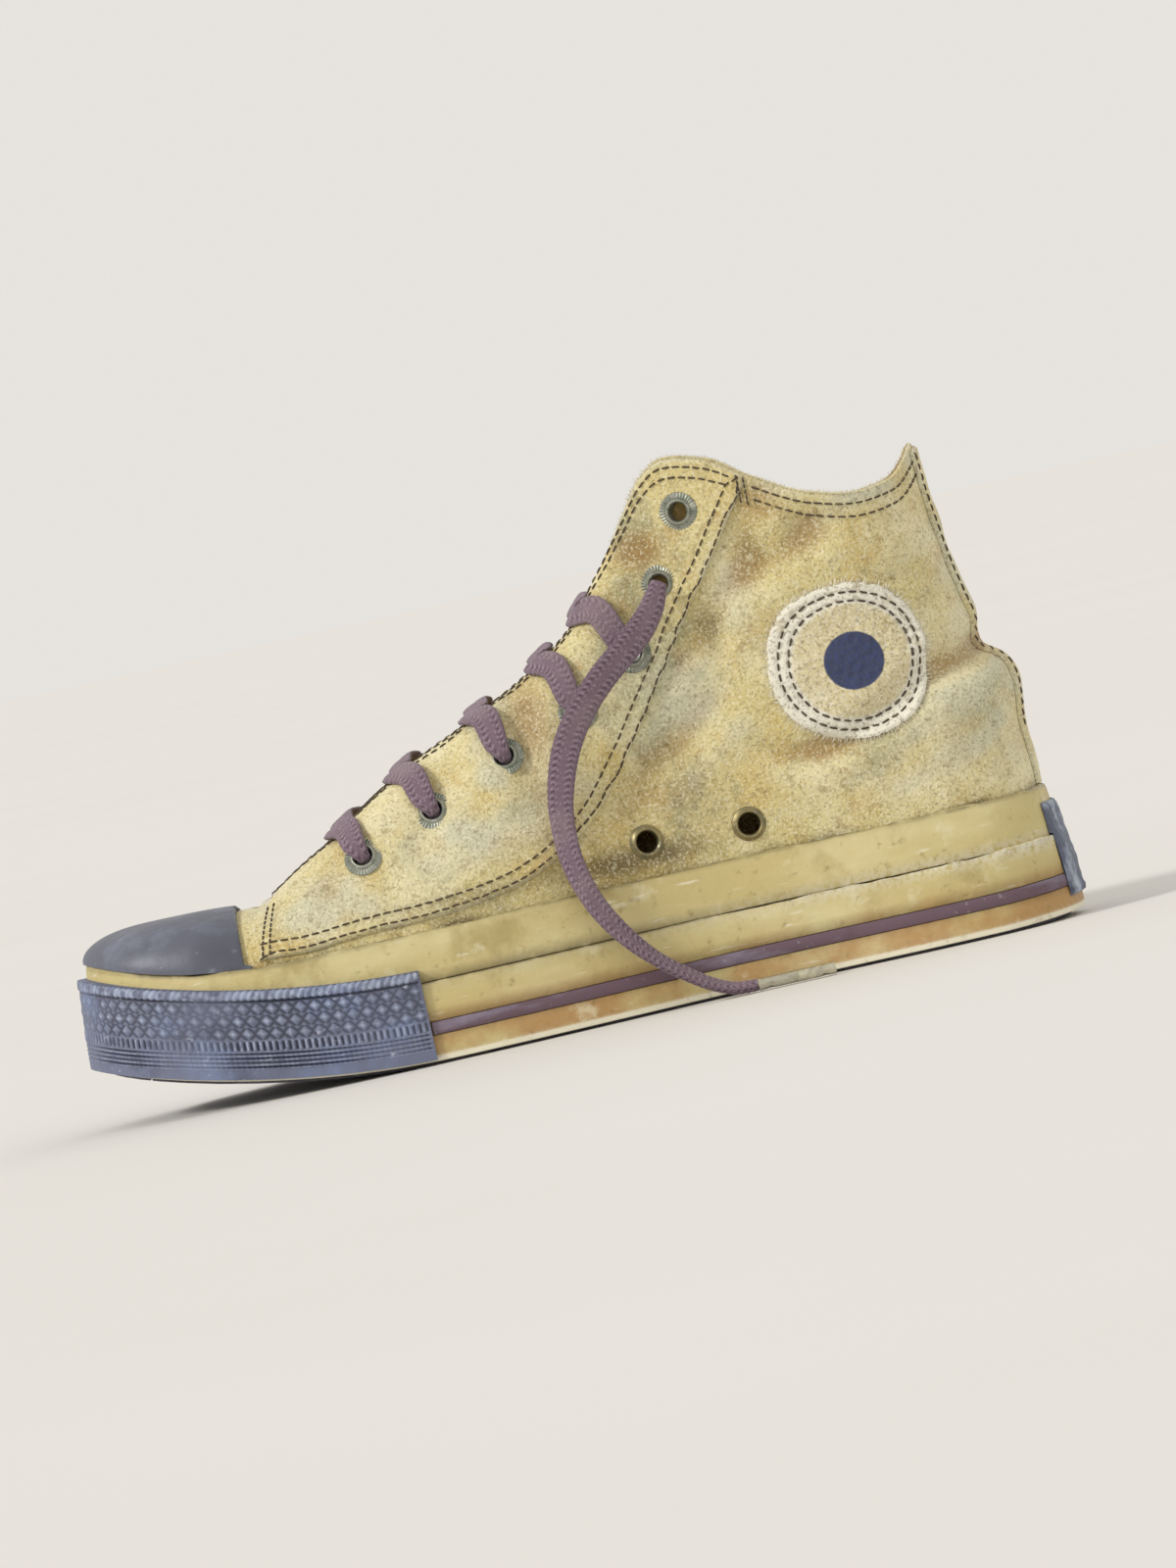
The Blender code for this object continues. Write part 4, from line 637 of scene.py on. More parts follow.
# Outsole: black rubber worn to a blotchy grey-blue, dusty in the grooves
outsoleRubber = makeFinish(
    "outsoleRubber", "56545F", 0.7,
    [
        {"colour": "777986", "size": 20, "start": 0.45, "full": 0.7, "amount": 0.75, "detail": 7.0},
        {"colour": "3A3842", "size": 9, "start": 0.5, "full": 0.72, "amount": 0.6, "detail": 6.0, "stretch": (1, 2.2, 1)},
        {"colour": "8A8478", "size": 5, "start": 0.6, "full": 0.74, "amount": 0.5, "detail": 6.0},
        {"colour": "A9A8AA", "size": 1.6, "start": 0.62, "full": 0.74, "amount": 0.5, "detail": 5.0},
    ],
    [{"size": 4.0, "deep": 0.3, "detail": 6.0}, {"size": 0.9, "deep": 0.1}],
    Specular_IOR_Level=0.3,
)

# Heel label: a thin rubber plate, worn bare, with the blue skin scraped through
labelRubber = makeFinish(
    "labelRubber", "5E6577", 0.55,
    [
        {"colour": "AEB7C8", "size": 9, "start": 0.46, "full": 0.64, "amount": 0.85, "detail": 7.0, "stretch": (1, 1, 0.5)},
        {"colour": "3C4050", "size": 7, "start": 0.5, "full": 0.7, "amount": 0.7, "detail": 6.0},
        {"colour": "E0DFDC", "size": 3, "start": 0.62, "full": 0.74, "amount": 0.8, "detail": 8.0},
    ],
    [{"size": 3.0, "deep": 0.25, "detail": 6.0}],
    Specular_IOR_Level=0.4,
)

# Stamped nickel of the lace eyelets, tarnished with verdigris in the knurl
eyeletNickel = makeFinish(
    "tarnishedNickel", "9A9C90", 0.42,
    [
        {"colour": "6F7A6C", "size": 2.6, "start": 0.45, "full": 0.68, "amount": 0.7, "detail": 6.0, "roughness": 0.7},
        {"colour": "C9CBC2", "size": 1.6, "start": 0.55, "full": 0.7, "amount": 0.6, "detail": 4.0, "roughness": 0.3},
        {"colour": "4A4B40", "size": 1.2, "start": 0.58, "full": 0.7, "amount": 0.6, "detail": 5.0, "roughness": 0.8},
    ],
    [{"size": 0.7, "deep": 0.05, "detail": 4.0}],
    Metallic=0.85,
)

# Brass of the plain vent rings, dulled
ventBrass = makeFinish(
    "dulledBrass", "9B8F68", 0.38,
    [
        {"colour": "6E7060", "size": 3.0, "start": 0.45, "full": 0.68, "amount": 0.7, "detail": 6.0, "roughness": 0.65},
        {"colour": "D6CDAE", "size": 1.8, "start": 0.55, "full": 0.72, "amount": 0.6, "detail": 4.0, "roughness": 0.28},
    ],
    [{"size": 0.8, "deep": 0.04}],
    Metallic=0.85,
)

# Crimped metal tip, thin brass with most of its plating gone
tipBrass = makeFinish(
    "crimpedTipBrass", "BFBAA8", 0.26,
    [
        {"colour": "77725F", "size": 3.0, "start": 0.5, "full": 0.7, "amount": 0.6, "detail": 6.0, "roughness": 0.5},
        {"colour": "EDE6C6", "size": 6.0, "start": 0.5, "full": 0.7, "amount": 0.5, "detail": 3.0},
    ],
    [{"size": 1.0, "deep": 0.03}],
    Metallic=0.85,
)

# Flat tubular knit of cotton, faded plum: fuzzy chevrons that run along the lace, with painted shade in the dips
# between stitches
laceCotton = makeFinish(
    "knitCotton", "75626E", 0.95,
    [
        {"colour": "9A8795", "attribute": "knit", "start": 0.45, "full": 1.0, "amount": 0.85},
        # painted shade in the dips between the stitches
        {"colour": "3F333C", "attribute": "knitDeep", "start": 0.25, "full": 0.9, "amount": 0.90},
        {"colour": "8C7D80", "size": 24, "start": 0.5, "full": 0.70, "amount": 0.5, "detail": 4.0},
        {"colour": "B0A2A8", "size": 0.7, "start": 0.54, "full": 0.70, "amount": 0.50, "detail": 3.0},
    ],
    [{"size": 0.6, "deep": 0.12, "detail": 3.0}],
    Sheen_Weight=0.2, Sheen_Roughness=0.5, Specular_IOR_Level=0.2,
)

# Patch: white canvas gone cream, with brushed fibres
patchCanvas = makeFinish(
    "patchCanvas", "E6E2D2", 0.95,
    [
        {"colour": "CDBD86", "attribute": "field", "start": 0.05, "full": 0.9, "amount": 0.72},
        {"colour": "E2DBBE", "attribute": "field", "size": 7, "start": 0.50, "full": 0.66, "amount": 0.75, "detail": 6.0},
        {"colour": "A58F5C", "size": 5, "start": 0.54, "full": 0.70, "amount": 0.45, "detail": 5.0},
        {"colour": "7D7150", "size": 1.0, "start": 0.50, "full": 0.66, "amount": 0.55, "detail": 2.0},
        {"colour": "F7F4E6", "size": 0.8, "start": 0.50, "full": 0.66, "amount": 0.45, "detail": 2.0},
        {"colour": "28365E", "attribute": "disc", "start": 0.1, "full": 0.9, "amount": 0.94},
        {"colour": "3F4C74", "attribute": "disc", "size": 1.2, "start": 0.48, "full": 0.64, "amount": 0.70, "detail": 3.0},
    ],
    [{"size": 1.0, "deep": 0.35, "detail": 3.0}],
    Sheen_Weight=0.2, Sheen_Roughness=0.5, Specular_IOR_Level=0.15,
)

# Waxed thread, dark brown, dusty where it stands up
thread = makeFinish(
    "waxedThread", "4E4337", 0.85,
    [{"colour": "7A6C58", "size": 5, "start": 0.5, "full": 0.72, "amount": 0.6, "detail": 4.0}],
    [{"size": 0.5, "deep": 0.05}],
    Specular_IOR_Level=0.3,
)

# Sock liner: woven cotton, darkened by the foot
insoleCloth = makeFinish(
    "insoleCotton", "A08C5C", 0.95,
    [
        {"colour": "6E5E3E", "size": 40, "start": 0.45, "full": 0.7, "amount": 0.8, "detail": 4.0},
        {"colour": "C3B486", "size": 1.2, "kind": "wave", "start": 0.4, "full": 0.9, "amount": 0.5, "turn": (0, 0, 0.6)},
    ],
    [{"size": 1.2, "kind": "wave", "deep": 0.15, "turn": (0, 0, 0.6)}],
    Specular_IOR_Level=0.2,
)

# Seamless paper backdrop, matt warm white
paper = makeFinish(
    "backdropPaper", "DDDBD8", 0.95,
    [{"colour": "D9D7D3", "size": 400, "start": 0.4, "full": 0.7, "amount": 0.3, "detail": 2.0}],
    [],
    Specular_IOR_Level=0.0,
)
print("materials made")


# Meshes

weld = 0.005 * mm


def makePiece(name, points, faces, material, smoothAngle=40, attributes=None):
    mesh = bpy.data.meshes.new(name)
    mesh.from_pydata(np.asarray(points, float).reshape(-1, 3).tolist(), [], faces)
    for key, values in (attributes or {}).items():
        layer = mesh.attributes.new(key, "FLOAT", "POINT")
        layer.data.foreach_set("value", np.asarray(values, np.float32).ravel())
    shape = bmesh.new()
    shape.from_mesh(mesh)
    bmesh.ops.remove_doubles(shape, verts=shape.verts, dist=weld)
    bmesh.ops.recalc_face_normals(shape, faces=shape.faces)
    shape.to_mesh(mesh)
    shape.free()
    mesh.shade_smooth()
    mesh.set_sharp_from_angle(angle=math.radians(smoothAngle))
    mesh.materials.append(material)
    piece = bpy.data.objects.new(name, mesh)
    collection.objects.link(piece)
    return piece


def gridFaces(rows, columns, closedColumns=False, closedRows=False):
    faces = []
    for r in range(rows if closedRows else rows - 1):
        nextRow = (r + 1) % rows
        for c in range(columns if closedColumns else columns - 1):
            n = (c + 1) % columns
            faces.append((r * columns + c, r * columns + n, nextRow * columns + n, nextRow * columns + c))
    return faces


def flatEnds(rows, columns):  # closes a tube whose rows are loops
    return [tuple(range(columns)), tuple((rows - 1) * columns + c for c in range(columns))]


def pointedEnds(rows, columns):  # the same with a middle point for each end, after the rows
    last, faces = rows * columns, []
    for c in range(columns):
        n = (c + 1) % columns
        faces.append((last, n, c))
        faces.append((last + 1, last - columns + c, last - columns + n))
    return faces


def sheetFaces(rows, columns):  # an outer and an inner layer, and the rim between them
    half = rows * columns
    faces = gridFaces(rows, columns)
    faces += [tuple(half + v for v in reversed(face)) for face in faces]
    border = list(range(columns)) + [r * columns + columns - 1 for r in range(1, rows)]
    border += [(rows - 1) * columns + c for c in range(columns - 2, -1, -1)]
    border += [r * columns for r in range(rows - 2, 0, -1)]
    for k, a in enumerate(border):
        b = border[(k + 1) % len(border)]
        faces.append((a, b, half + b, half + a))
    return faces


def punchHoles(piece, holes):  # clean round holes through a sheet: point, axis and radius of each
    shape = bmesh.new()
    shape.from_mesh(piece.data)
    for point, axis, radius in holes:
        middle, along = Vector(point), Vector(axis)

        def away(spot):
            offset = spot - middle
            depth = offset.dot(along)
            return (offset - along * depth).length, depth

        doomed = set()
        for vert in shape.verts:
            wide, depth = away(vert.co)
            if wide < radius and abs(depth) < 6 * mm:
                doomed.update(vert.link_faces)
        bmesh.ops.delete(shape, geom=list(doomed), context="FACES")
        rim = []
        for edge in shape.edges:
            if not edge.is_boundary:
                continue
            wide, depth = away(edge.verts[0].co)
            if wide < radius + 6 * mm and abs(depth) < 8 * mm:
                rim.append(edge)
        for vert in {v for edge in rim for v in edge.verts}:
            wide, depth = away(vert.co)
            offset = vert.co - middle - along * depth
            vert.co = middle + along * depth + offset * (radius / max(wide, 1e-9))
        if rim:
            bmesh.ops.bridge_loops(shape, edges=rim)
    bmesh.ops.recalc_face_normals(shape, faces=shape.faces)
    shape.to_mesh(piece.data)
    shape.free()
    piece.data.shade_smooth()
    piece.data.set_sharp_from_angle(angle=math.radians(55))


def finishPiece(piece, slotName, *nodes):
    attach(piece, "root")
    if nodes:
        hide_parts(*nodes)
    return piece


def ringPlaces(count, cluster=0.35):
    even = np.arange(count + 1) / count
    return even - cluster * np.sin(2 * math.pi * even) / (2 * math.pi)


def ringColumns(count):  # once round: heel, medial side, toe, lateral side
    places = ringPlaces(count)
    sides = np.concatenate([-np.ones(count + 1), np.ones(count - 1)])
    return sides, np.concatenate([places, places[-2:0:-1]])


def columnsBetween(medialFrom, lateralFrom, count, throughToe=True):
    if throughToe:
        medial, lateral = np.linspace(medialFrom, 1, count), np.linspace(1, lateralFrom, count)[1:]
    else:
        medial, lateral = np.linspace(medialFrom, 0, count), np.linspace(0, lateralFrom, count)[1:]
    return np.concatenate([-np.ones(len(medial)), np.ones(len(lateral))]), np.concatenate([medial, lateral])


def placeAtX(side, x):
    places = np.linspace(0.12, 1.0, 3000)
    return float(places[int(np.argmin(np.abs(ringAt(side, places)[0][:, 0] - x)))])


# Camera and floor. The photograph looks up from below the floor, so this camera stops just above it.
cameraPlan = {
    "azimuth": 1.0,
    "elevation": 1.6,
    "roll": 12.6,
    "distance": 2.6,
    "pointsPerMm": 3.45,
    "heelPixel": (1111, 916),
    "heelPoint": (0.1495, -0.004, 0.004),
}


def makeCamera():
    plan = cameraPlan
    wide, tall = 1200, 1600
    camera = bpy.data.cameras.new("photoCamera")
    made = bpy.data.objects.new("photoCamera", camera)
    bpy.context.scene.collection.objects.link(made)
    camera.sensor_fit = "AUTO"
    camera.sensor_width = 36.0
    azimuth, elevation = math.radians(plan["azimuth"]), math.radians(plan["elevation"])
    level = math.cos(elevation)
    back = Vector((math.sin(azimuth) * level, -math.cos(azimuth) * level, math.sin(elevation)))
    turn = (-back).to_track_quat("-Z", "Y").to_matrix() @ Matrix.Rotation(-math.radians(plan["roll"]), 3, "Z")
    # lens length from the wanted scale: the long side of the frame covers tall pixels
    seen = tall / plan["pointsPerMm"] * mm
    camera.lens = camera.sensor_width * plan["distance"] / seen
    right, up = turn @ Vector((1, 0, 0)), turn @ Vector((0, 1, 0))
    anchor = Vector(plan["heelPoint"])
    dx = (plan["heelPixel"][0] - wide / 2) / plan["pointsPerMm"] * mm
    dy = (tall / 2 - plan["heelPixel"][1]) / plan["pointsPerMm"] * mm
    made.location = anchor - right * dx - up * dy + back * plan["distance"]
    lowest = 0.012
    if made.location.z < lowest:
        camera.shift_y -= (lowest - made.location.z) / seen
        made.location.z = lowest
    made.rotation_euler = turn.to_euler()
    camera.clip_end = 60
    bpy.context.scene.camera = made
    print("camera at", [round(v, 3) for v in made.location], "lens", round(camera.lens, 1))
    return made


def makeStage():
    floorMesh = bpy.data.meshes.new("floor")
    reach = 30.0
    corners = [(-reach, -reach, 0), (reach, -reach, 0), (reach, reach, 0), (-reach, reach, 0)]
    floorMesh.from_pydata(corners, [], [(0, 1, 2, 3)])
    floorMesh.materials.append(paper)
    floor = bpy.data.objects.new("floor", floorMesh)
    bpy.context.scene.collection.objects.link(floor)
    world = bpy.data.worlds.new("softRoom")
    world.use_nodes = True
    world.node_tree.nodes["Background"].inputs["Color"].default_value = hexColour("F6F3EE")
    world.node_tree.nodes["Background"].inputs["Strength"].default_value = 0.86
    bpy.context.scene.world = world
    bpy.context.scene.view_settings.view_transform = "Standard"
    # far lamps, so the floor is lit evenly up to its far edge
    lights = [
        ("key", (-1.7, -1.0, 1.35), 1.60, 12.0, "FFFCF7"),
        ("back", (1.2, 1.6, 1.0), 0.25, 30.0, "F4F6FF"),
    ]
    for name, spot, power, softness, tint in lights:
        light = bpy.data.lights.new(name, "SUN")
        light.energy = power
        light.angle = math.radians(softness)
        light.color = hexColour(tint)[:3]
        lamp = bpy.data.objects.new(name, light)
        lamp.location = spot
        lamp.rotation_euler = (-Vector(spot)).to_track_quat("-Z", "Y").to_euler()
        bpy.context.scene.collection.objects.link(lamp)


makeCamera()
makeStage()


# Laces

lace = {
    "width": 8.6 * mm,
    "thickness": 1.7 * mm,
    "throughHole": 4.4 * mm,
    "throughHoleThickness": 3.2 * mm,
    "rowStep": 0.55 * mm,
    "aroundCount": 28,
    "wales": 5,
    "courseLength": 1.9 * mm,
    "relief": 0.22 * mm,
    "softening": 16,  # rounds that ease the bends of the bars
    # share of a loose end's length, and its width or thickness there in mm
    "endWidths": [
        (0, 5.0), (0.05, 7.4), (0.12, 8.8), (0.35, 8.6), (0.5, 7.4), (0.62, 6.6), (0.9, 5.6),
        (0.97, 4.4), (1, 3.3),
    ],
    "endThicknesses": [(0, 3.4), (0.05, 2.4), (0.12, 1.7), (0.5, 1.9), (0.9, 2.4), (1, 3.3)],
}


def laceRibbon(name, line, broad, width, thickness):
    # line, direction of its breadth, width and thickness: one row each, at evenly spaced points
    tangent = unit(np.gradient(line, axis=0))
    out = unit(np.cross(tangent, broad))
    wide = np.cross(out, tangent)
    around = np.linspace(0, 2 * math.pi, lace["aroundCount"], endpoint=False)
    across = np.sign(np.cos(around)) * np.abs(np.cos(around)) ** 0.75
    thick = np.sign(np.sin(around)) * np.abs(np.sin(around)) ** 0.75
    gaps = np.linalg.norm(np.diff(line, axis=0), axis=1)
    along = np.concatenate([[0], np.cumsum(gaps)])
    # chevrons of the knit: each wale is a V that climbs along the lace
    wale = (across + 1) / 2 * lace["wales"]
    vee = np.abs((wale % 1) - 0.5) * 2
    course = along[:, None] / lace["courseLength"] + vee[None, :] * 0.9 + np.where(thick > 0, 0, 0.5)[None, :]
    stitch = 0.5 + 0.5 * np.cos(course * 2 * math.pi)
    knit = stitch * (0.35 + 0.65 * np.sin(math.pi * np.clip(vee, 0.05, 1))[None, :])
    relief = lace["relief"] * (knit - 0.5)
    half = width[:, None] / 2 + relief * np.abs(across)[None, :]
    halfThick = thickness[:, None] / 2 + relief
    points = (
        line[:, None, :]
        + wide[:, None, :] * (across[None, :] * half)[..., None]
        + out[:, None, :] * (thick[None, :] * halfThick)[..., None]
    )
    rows, columns = points.shape[:2]
    faces = gridFaces(rows, columns, closedColumns=True) + pointedEnds(rows, columns)
    points = np.vstack([points.reshape(-1, 3), line[:1], line[-1:]])
    knitValues = np.append(knit.ravel(), [0.5, 0.5])
    # knitDeep: painted shade, darkest in the dips between courses and wales
    deepValues = np.append((1 - stitch.ravel()) * np.tile(vee, rows) ** 0.5, [0.5, 0.5])
    return makePiece(name, points, faces, laceCotton, 70, {"knit": knitValues, "knitDeep": deepValues})


def evenRows(controls, step):  # controls: rows of point, outward, width, thickness
    controls = np.array(controls, float)
    fine = smoothCurve(controls, 20)
    gaps = np.linalg.norm(np.diff(fine[:, :3], axis=0), axis=1)
    along = np.concatenate([[0], np.cumsum(gaps)])
    count = max(8, int(along[-1] / step) + 1)
    wanted = np.linspace(0, along[-1], count)
    rows = np.stack([np.interp(wanted, along, fine[:, k]) for k in range(fine.shape[1])], 1)
    return rows[:, :3], unit(rows[:, 3:6]), rows[:, 6], rows[:, 7]


def seatOf(side, spot):
    place, share = onWall(side, spot[0] * shoe["length"] / 2, spot[1] * shoe["shaftHeight"])
    point, _ = worn(side, place, share)
    return place, share, point, lastNormal(side, place, share, 0.03)


eyestayLift = 1.5 * mm  # top of the eyestay above the upper
eyeletHole, ventHole = 3.35 * mm, 3.75 * mm  # radii of the holes through the hide
seats = {(side, k): seatOf(side, spot) for side in (-1, 1) for k, spot in enumerate(eyeletSpots)}
ventSeats = [seatOf(-1, spot) for spot in ventSpots]


def makeLaceEnd(label, side, route, heading):
    line = smoothCurve(np.array(route) * mm, 20)
    count = int(np.linalg.norm(np.diff(line, axis=0), axis=1).sum() / lace["rowStep"]) + 1
    line = resample(line, count)
    share = np.linspace(0, 1, count)
    # flat on the upper and the sidewall, then it turns on its edge a little on the floor
    place = np.interp(share, [0, 0.5, 0.62, 0.8, 1.0], [0, 0, 0, 1, 1])[:, None]
    outward = unit((1 - place) * np.array([0.15, side, 0.12]) + place * np.array([0, 0.55 * side, 1.0]))
    twist = 0.5 * np.sin(share * 9.0)[:, None]
    outward = unit(outward + twist * np.array([0.5, 0, -0.3]) * (1 - place))
    width = pchip(lace["endWidths"], share) * mm
    thickness = pchip(lace["endThicknesses"], share) * mm
    broad = np.cross(outward, unit(np.gradient(line, axis=0)))
    piece = laceRibbon("laceEnd" + label.title(), line, broad, width, thickness)
    along = Vector(heading).normalized()
    tip = makeTip("aglet" + label.title(), Vector(line[-1]) + along * shoe["gap"], along)
    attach(piece, "root")
    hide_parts("lace_end_" + label)
    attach(tip, "root")
    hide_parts("aglet_" + label)
    return piece


tip = {"length": 23 * mm, "radius": 1.75 * mm, "dimples": (3.5 * mm, 19.5 * mm), "sides": 24}


def makeTip(name, start, along):
    rows = []
    steps = np.linspace(0, tip["length"], 70)
    angles = np.linspace(0, 2 * math.pi, tip["sides"], endpoint=False)
    turn = along.to_track_quat("Z", "Y").to_matrix()
    for z in steps:
        lip = 0.14 * mm * math.exp(-((z / (0.7 * mm)) ** 2))
        lip += 0.1 * mm * math.exp(-(((z - tip["length"]) / (0.6 * mm)) ** 2))
        radius = np.full(len(angles), tip["radius"] + lip)
        for dimple in tip["dimples"]:
            for facing in (1.2, 4.34):
                turned = np.abs((angles - facing + math.pi) % (2 * math.pi) - math.pi) * tip["radius"]
                radius -= 0.55 * mm * np.exp(-((z - dimple) ** 2 + turned**2) / (0.75 * mm) ** 2)
        seam = np.abs((angles - 2.6 + math.pi) % (2 * math.pi) - math.pi)
        radius -= 0.12 * mm * np.exp(-((seam / 0.14) ** 2))
        rows.append(np.stack([radius * np.cos(angles), radius * np.sin(angles), np.full(len(angles), z)], 1))
    points = np.vstack(rows + [np.array([[0, 0, 0.4 * mm], [0, 0, tip["length"] - 0.4 * mm]])])
    faces = gridFaces(len(steps), tip["sides"], closedColumns=True) + pointedEnds(len(steps), tip["sides"])
    points = points @ np.array(turn).T + np.array(start)
    return makePiece(name, points, faces, tipBrass, 50)


def makeLaceBars():
    nearPlaces = np.linspace(0.36, 0.84, 400)
    for k in (2, 3, 4, 5, 6):
        halves = []
        outSum, broadSum = np.zeros(3), np.zeros(3)
        for side in (-1, 1):
            place, share, point, normal = seats[(side, k)]
            edges = topEdge(side, nearPlaces)
            near = float(nearPlaces[int(np.argmin(np.linalg.norm(edges - point, axis=1)))])
            near = near - 0.004 if k < 4 else near
            ringTop = eyestayLift + 1.2 * mm
            edge, edgeNormal = worn(side, near, 1.0, 0)
            ahead = edge - point
            ahead = unit(ahead - normal * (ahead @ normal))
            rolling = unit(edge - lastPoint(side, near, 0.97))
            broad = unit(topEdge(side, near + 0.01) - topEdge(side, near - 0.01))
            between, betweenNormal = worn(side, (place + near) / 2, (share + 1) / 2, 0)
            halfThick = lace["thickness"] / 2
            over = eyestayLift + halfThick + 0.8 * mm
            narrow, thick = lace["throughHole"], lace["throughHoleThickness"]
            wide, thin = lace["width"], lace["thickness"]
            halves.append([
                [*(point - normal * 3.2 * mm), *broad, narrow, thick],
                [*(point + normal * (ringTop - 0.9 * mm)), *broad, narrow, thick],
                [*(point + normal * (ringTop + 0.6 * mm) + ahead * 1.6 * mm), *broad, wide * 0.66, thick * 0.75],
                [*(point + normal * (ringTop + 1.0 * mm) + ahead * 4.2 * mm), *broad, wide * 0.85, thin * 1.2],
                [*(between + betweenNormal * (over + 0.3 * mm)), *broad, wide, thin],
                [*(edge + edgeNormal * over - rolling * 1.4 * mm), *broad, wide, thin],
                [*(edge + edgeNormal * 0.75 * over + rolling * 1.6 * mm), *broad, wide, thin],
            ])
            outSum += edgeNormal
            broadSum += broad
        out = unit(outSum)
        middle = (np.array(halves[0][-1][:3]) + np.array(halves[1][-1][:3])) / 2 + out * 1.6 * mm
        controls = halves[0] + [[*middle, *unit(broadSum), wide, thin]] + halves[1][::-1]
        line, broad, width, thickness = evenRows(controls, lace["rowStep"])
        for _ in range(lace["softening"]):
            line[1:-1] = (line[:-2] + 2 * line[1:-1] + line[2:]) / 4
            broad[1:-1] = (broad[:-2] + 2 * broad[1:-1] + broad[2:]) / 4
        piece = laceRibbon(f"laceBar{k + 1}", line, broad, width, thickness)
        finishPiece(piece, "lace_cotton", f"lace_bar_{k + 1}")


makeLaceEnd("medial", -1, medialEnd, (23.0, 1.6, 0.0))
makeLaceEnd("lateral", 1, lateralEnd, (22.9, -1.9, 0.0))
makeLaceBars()
print("laces made")


# Geometry Nodes: one piece repeated along paths, each turned to its path and its surface

def makeRepeatTree():
    tree = bpy.data.node_groups.new("repeatAlongPath", "GeometryNodeTree")
    for name, kind in (
        ("Geometry", "NodeSocketGeometry"), ("Piece", "NodeSocketObject"), ("Pitch", "NodeSocketFloat"),
        ("Size jitter", "NodeSocketFloat"), ("Turn jitter", "NodeSocketFloat"), ("Seed", "NodeSocketInt"),
        ("Material", "NodeSocketMaterial"),
    ):
        tree.interface.new_socket(name, in_out="INPUT", socket_type=kind)
    tree.interface.new_socket("Geometry", in_out="OUTPUT", socket_type="NodeSocketGeometry")
    given = addNode(tree, "NodeGroupInput").outputs
    curve = addNode(tree, "GeometryNodeMeshToCurve", {"Mesh": given["Geometry"]})
    even = addNode(
        tree, "GeometryNodeResampleCurve", {"Curve": curve.outputs[0], "Length": given["Pitch"]}, mode="LENGTH"
    )
    out = addNode(tree, "GeometryNodeInputNamedAttribute", {"Name": "out"}, data_type="FLOAT_VECTOR")
    tangent = addNode(tree, "GeometryNodeInputTangent")
    upright = addNode(tree, "FunctionNodeAlignRotationToVector", {"Vector": out.outputs[0]}, axis="Z")
    facing = addNode(
        tree, "FunctionNodeAlignRotationToVector",
        {"Rotation": upright.outputs[0], "Vector": tangent.outputs[0]}, axis="X", pivot_axis="Z",
    )
    spin = addNode(
        tree, "FunctionNodeRandomValue",
        {"Min": (-1, -1, -1), "Max": (1, 1, 1), "Seed": given["Seed"]}, data_type="FLOAT_VECTOR",
    )
    scaled = addNode(
        tree, "ShaderNodeVectorMath", {0: spin.outputs[0], "Scale": given["Turn jitter"]}, operation="SCALE"
    )
    turn = addNode(tree, "FunctionNodeEulerToRotation", {0: scaled.outputs[0]})
    turned = addNode(
        tree, "FunctionNodeRotateRotation", {0: facing.outputs[0], 1: turn.outputs[0]}, rotation_space="LOCAL"
    )
    swell = addNode(
        tree, "ShaderNodeMath", {0: spin.outputs[0], 1: given["Size jitter"], 2: 1.0}, operation="MULTIPLY_ADD"
    )
    source = addNode(tree, "GeometryNodeObjectInfo", {"Object": given["Piece"], "As Instance": True})
    placed = addNode(
        tree, "GeometryNodeInstanceOnPoints",
        {"Points": even.outputs[0], "Instance": source.outputs["Geometry"],
         "Rotation": turned.outputs[0], "Scale": swell.outputs[0]},
    )
    real = addNode(tree, "GeometryNodeRealizeInstances", {"Geometry": placed.outputs[0]})
    coloured = addNode(
        tree, "GeometryNodeSetMaterial", {"Geometry": real.outputs[0], "Material": given["Material"]}
    )
    addNode(tree, "NodeGroupOutput", {"Geometry": coloured.outputs[0]})
    return tree


repeatTree = makeRepeatTree()


def repeatAlong(name, paths, part, material, pitch, sizeJitter=0.0, turnJitter=0.0, seed=1):
    # paths: list of (points, outward) arrays; part: a small object that is used up
    points, edges, outs = [], [], []
    for line, outward in paths:
        first = sum(len(p) for p in points)
        points.append(line)
        outs.append(outward)
        edges += [(first + k, first + k + 1) for k in range(len(line) - 1)]
    mesh = bpy.data.meshes.new(name)
    mesh.from_pydata(np.vstack(points).tolist(), edges, [])
    layer = mesh.attributes.new("out", "FLOAT_VECTOR", "POINT")
    layer.data.foreach_set("vector", np.vstack(outs).astype(np.float32).ravel())
    piece = bpy.data.objects.new(name, mesh)
    collection.objects.link(piece)
    modifier = piece.modifiers.new("repeat", "NODES")
    modifier.node_group = repeatTree
    values = {
        "Piece": part, "Pitch": pitch, "Size jitter": sizeJitter, "Turn jitter": turnJitter,
        "Seed": seed, "Material": material,
    }
    for item in repeatTree.interface.items_tree:
        if item.in_out == "INPUT" and item.name in values:
            modifier[item.identifier] = values[item.name]
    bpy.context.view_layer.update()
    evaluated = piece.evaluated_get(bpy.context.evaluated_depsgraph_get())
    made = bpy.data.meshes.new_from_object(evaluated)
    piece.modifiers.remove(modifier)
    piece.data = made
    made.materials.clear()
    made.materials.append(material)
    made.shade_smooth()
    made.set_sharp_from_angle(angle=math.radians(55))
    bpy.data.objects.remove(part)
    return piece


def helperObject(name, points, faces):
    mesh = bpy.data.meshes.new(name)
    mesh.from_pydata([tuple(p) for p in points], [], faces)
    shape = bmesh.new()
    shape.from_mesh(mesh)
    bmesh.ops.recalc_face_normals(shape, faces=shape.faces)
    shape.to_mesh(mesh)
    shape.free()
    made = bpy.data.objects.new(name, mesh)
    bpy.context.scene.collection.objects.link(made)
    return made


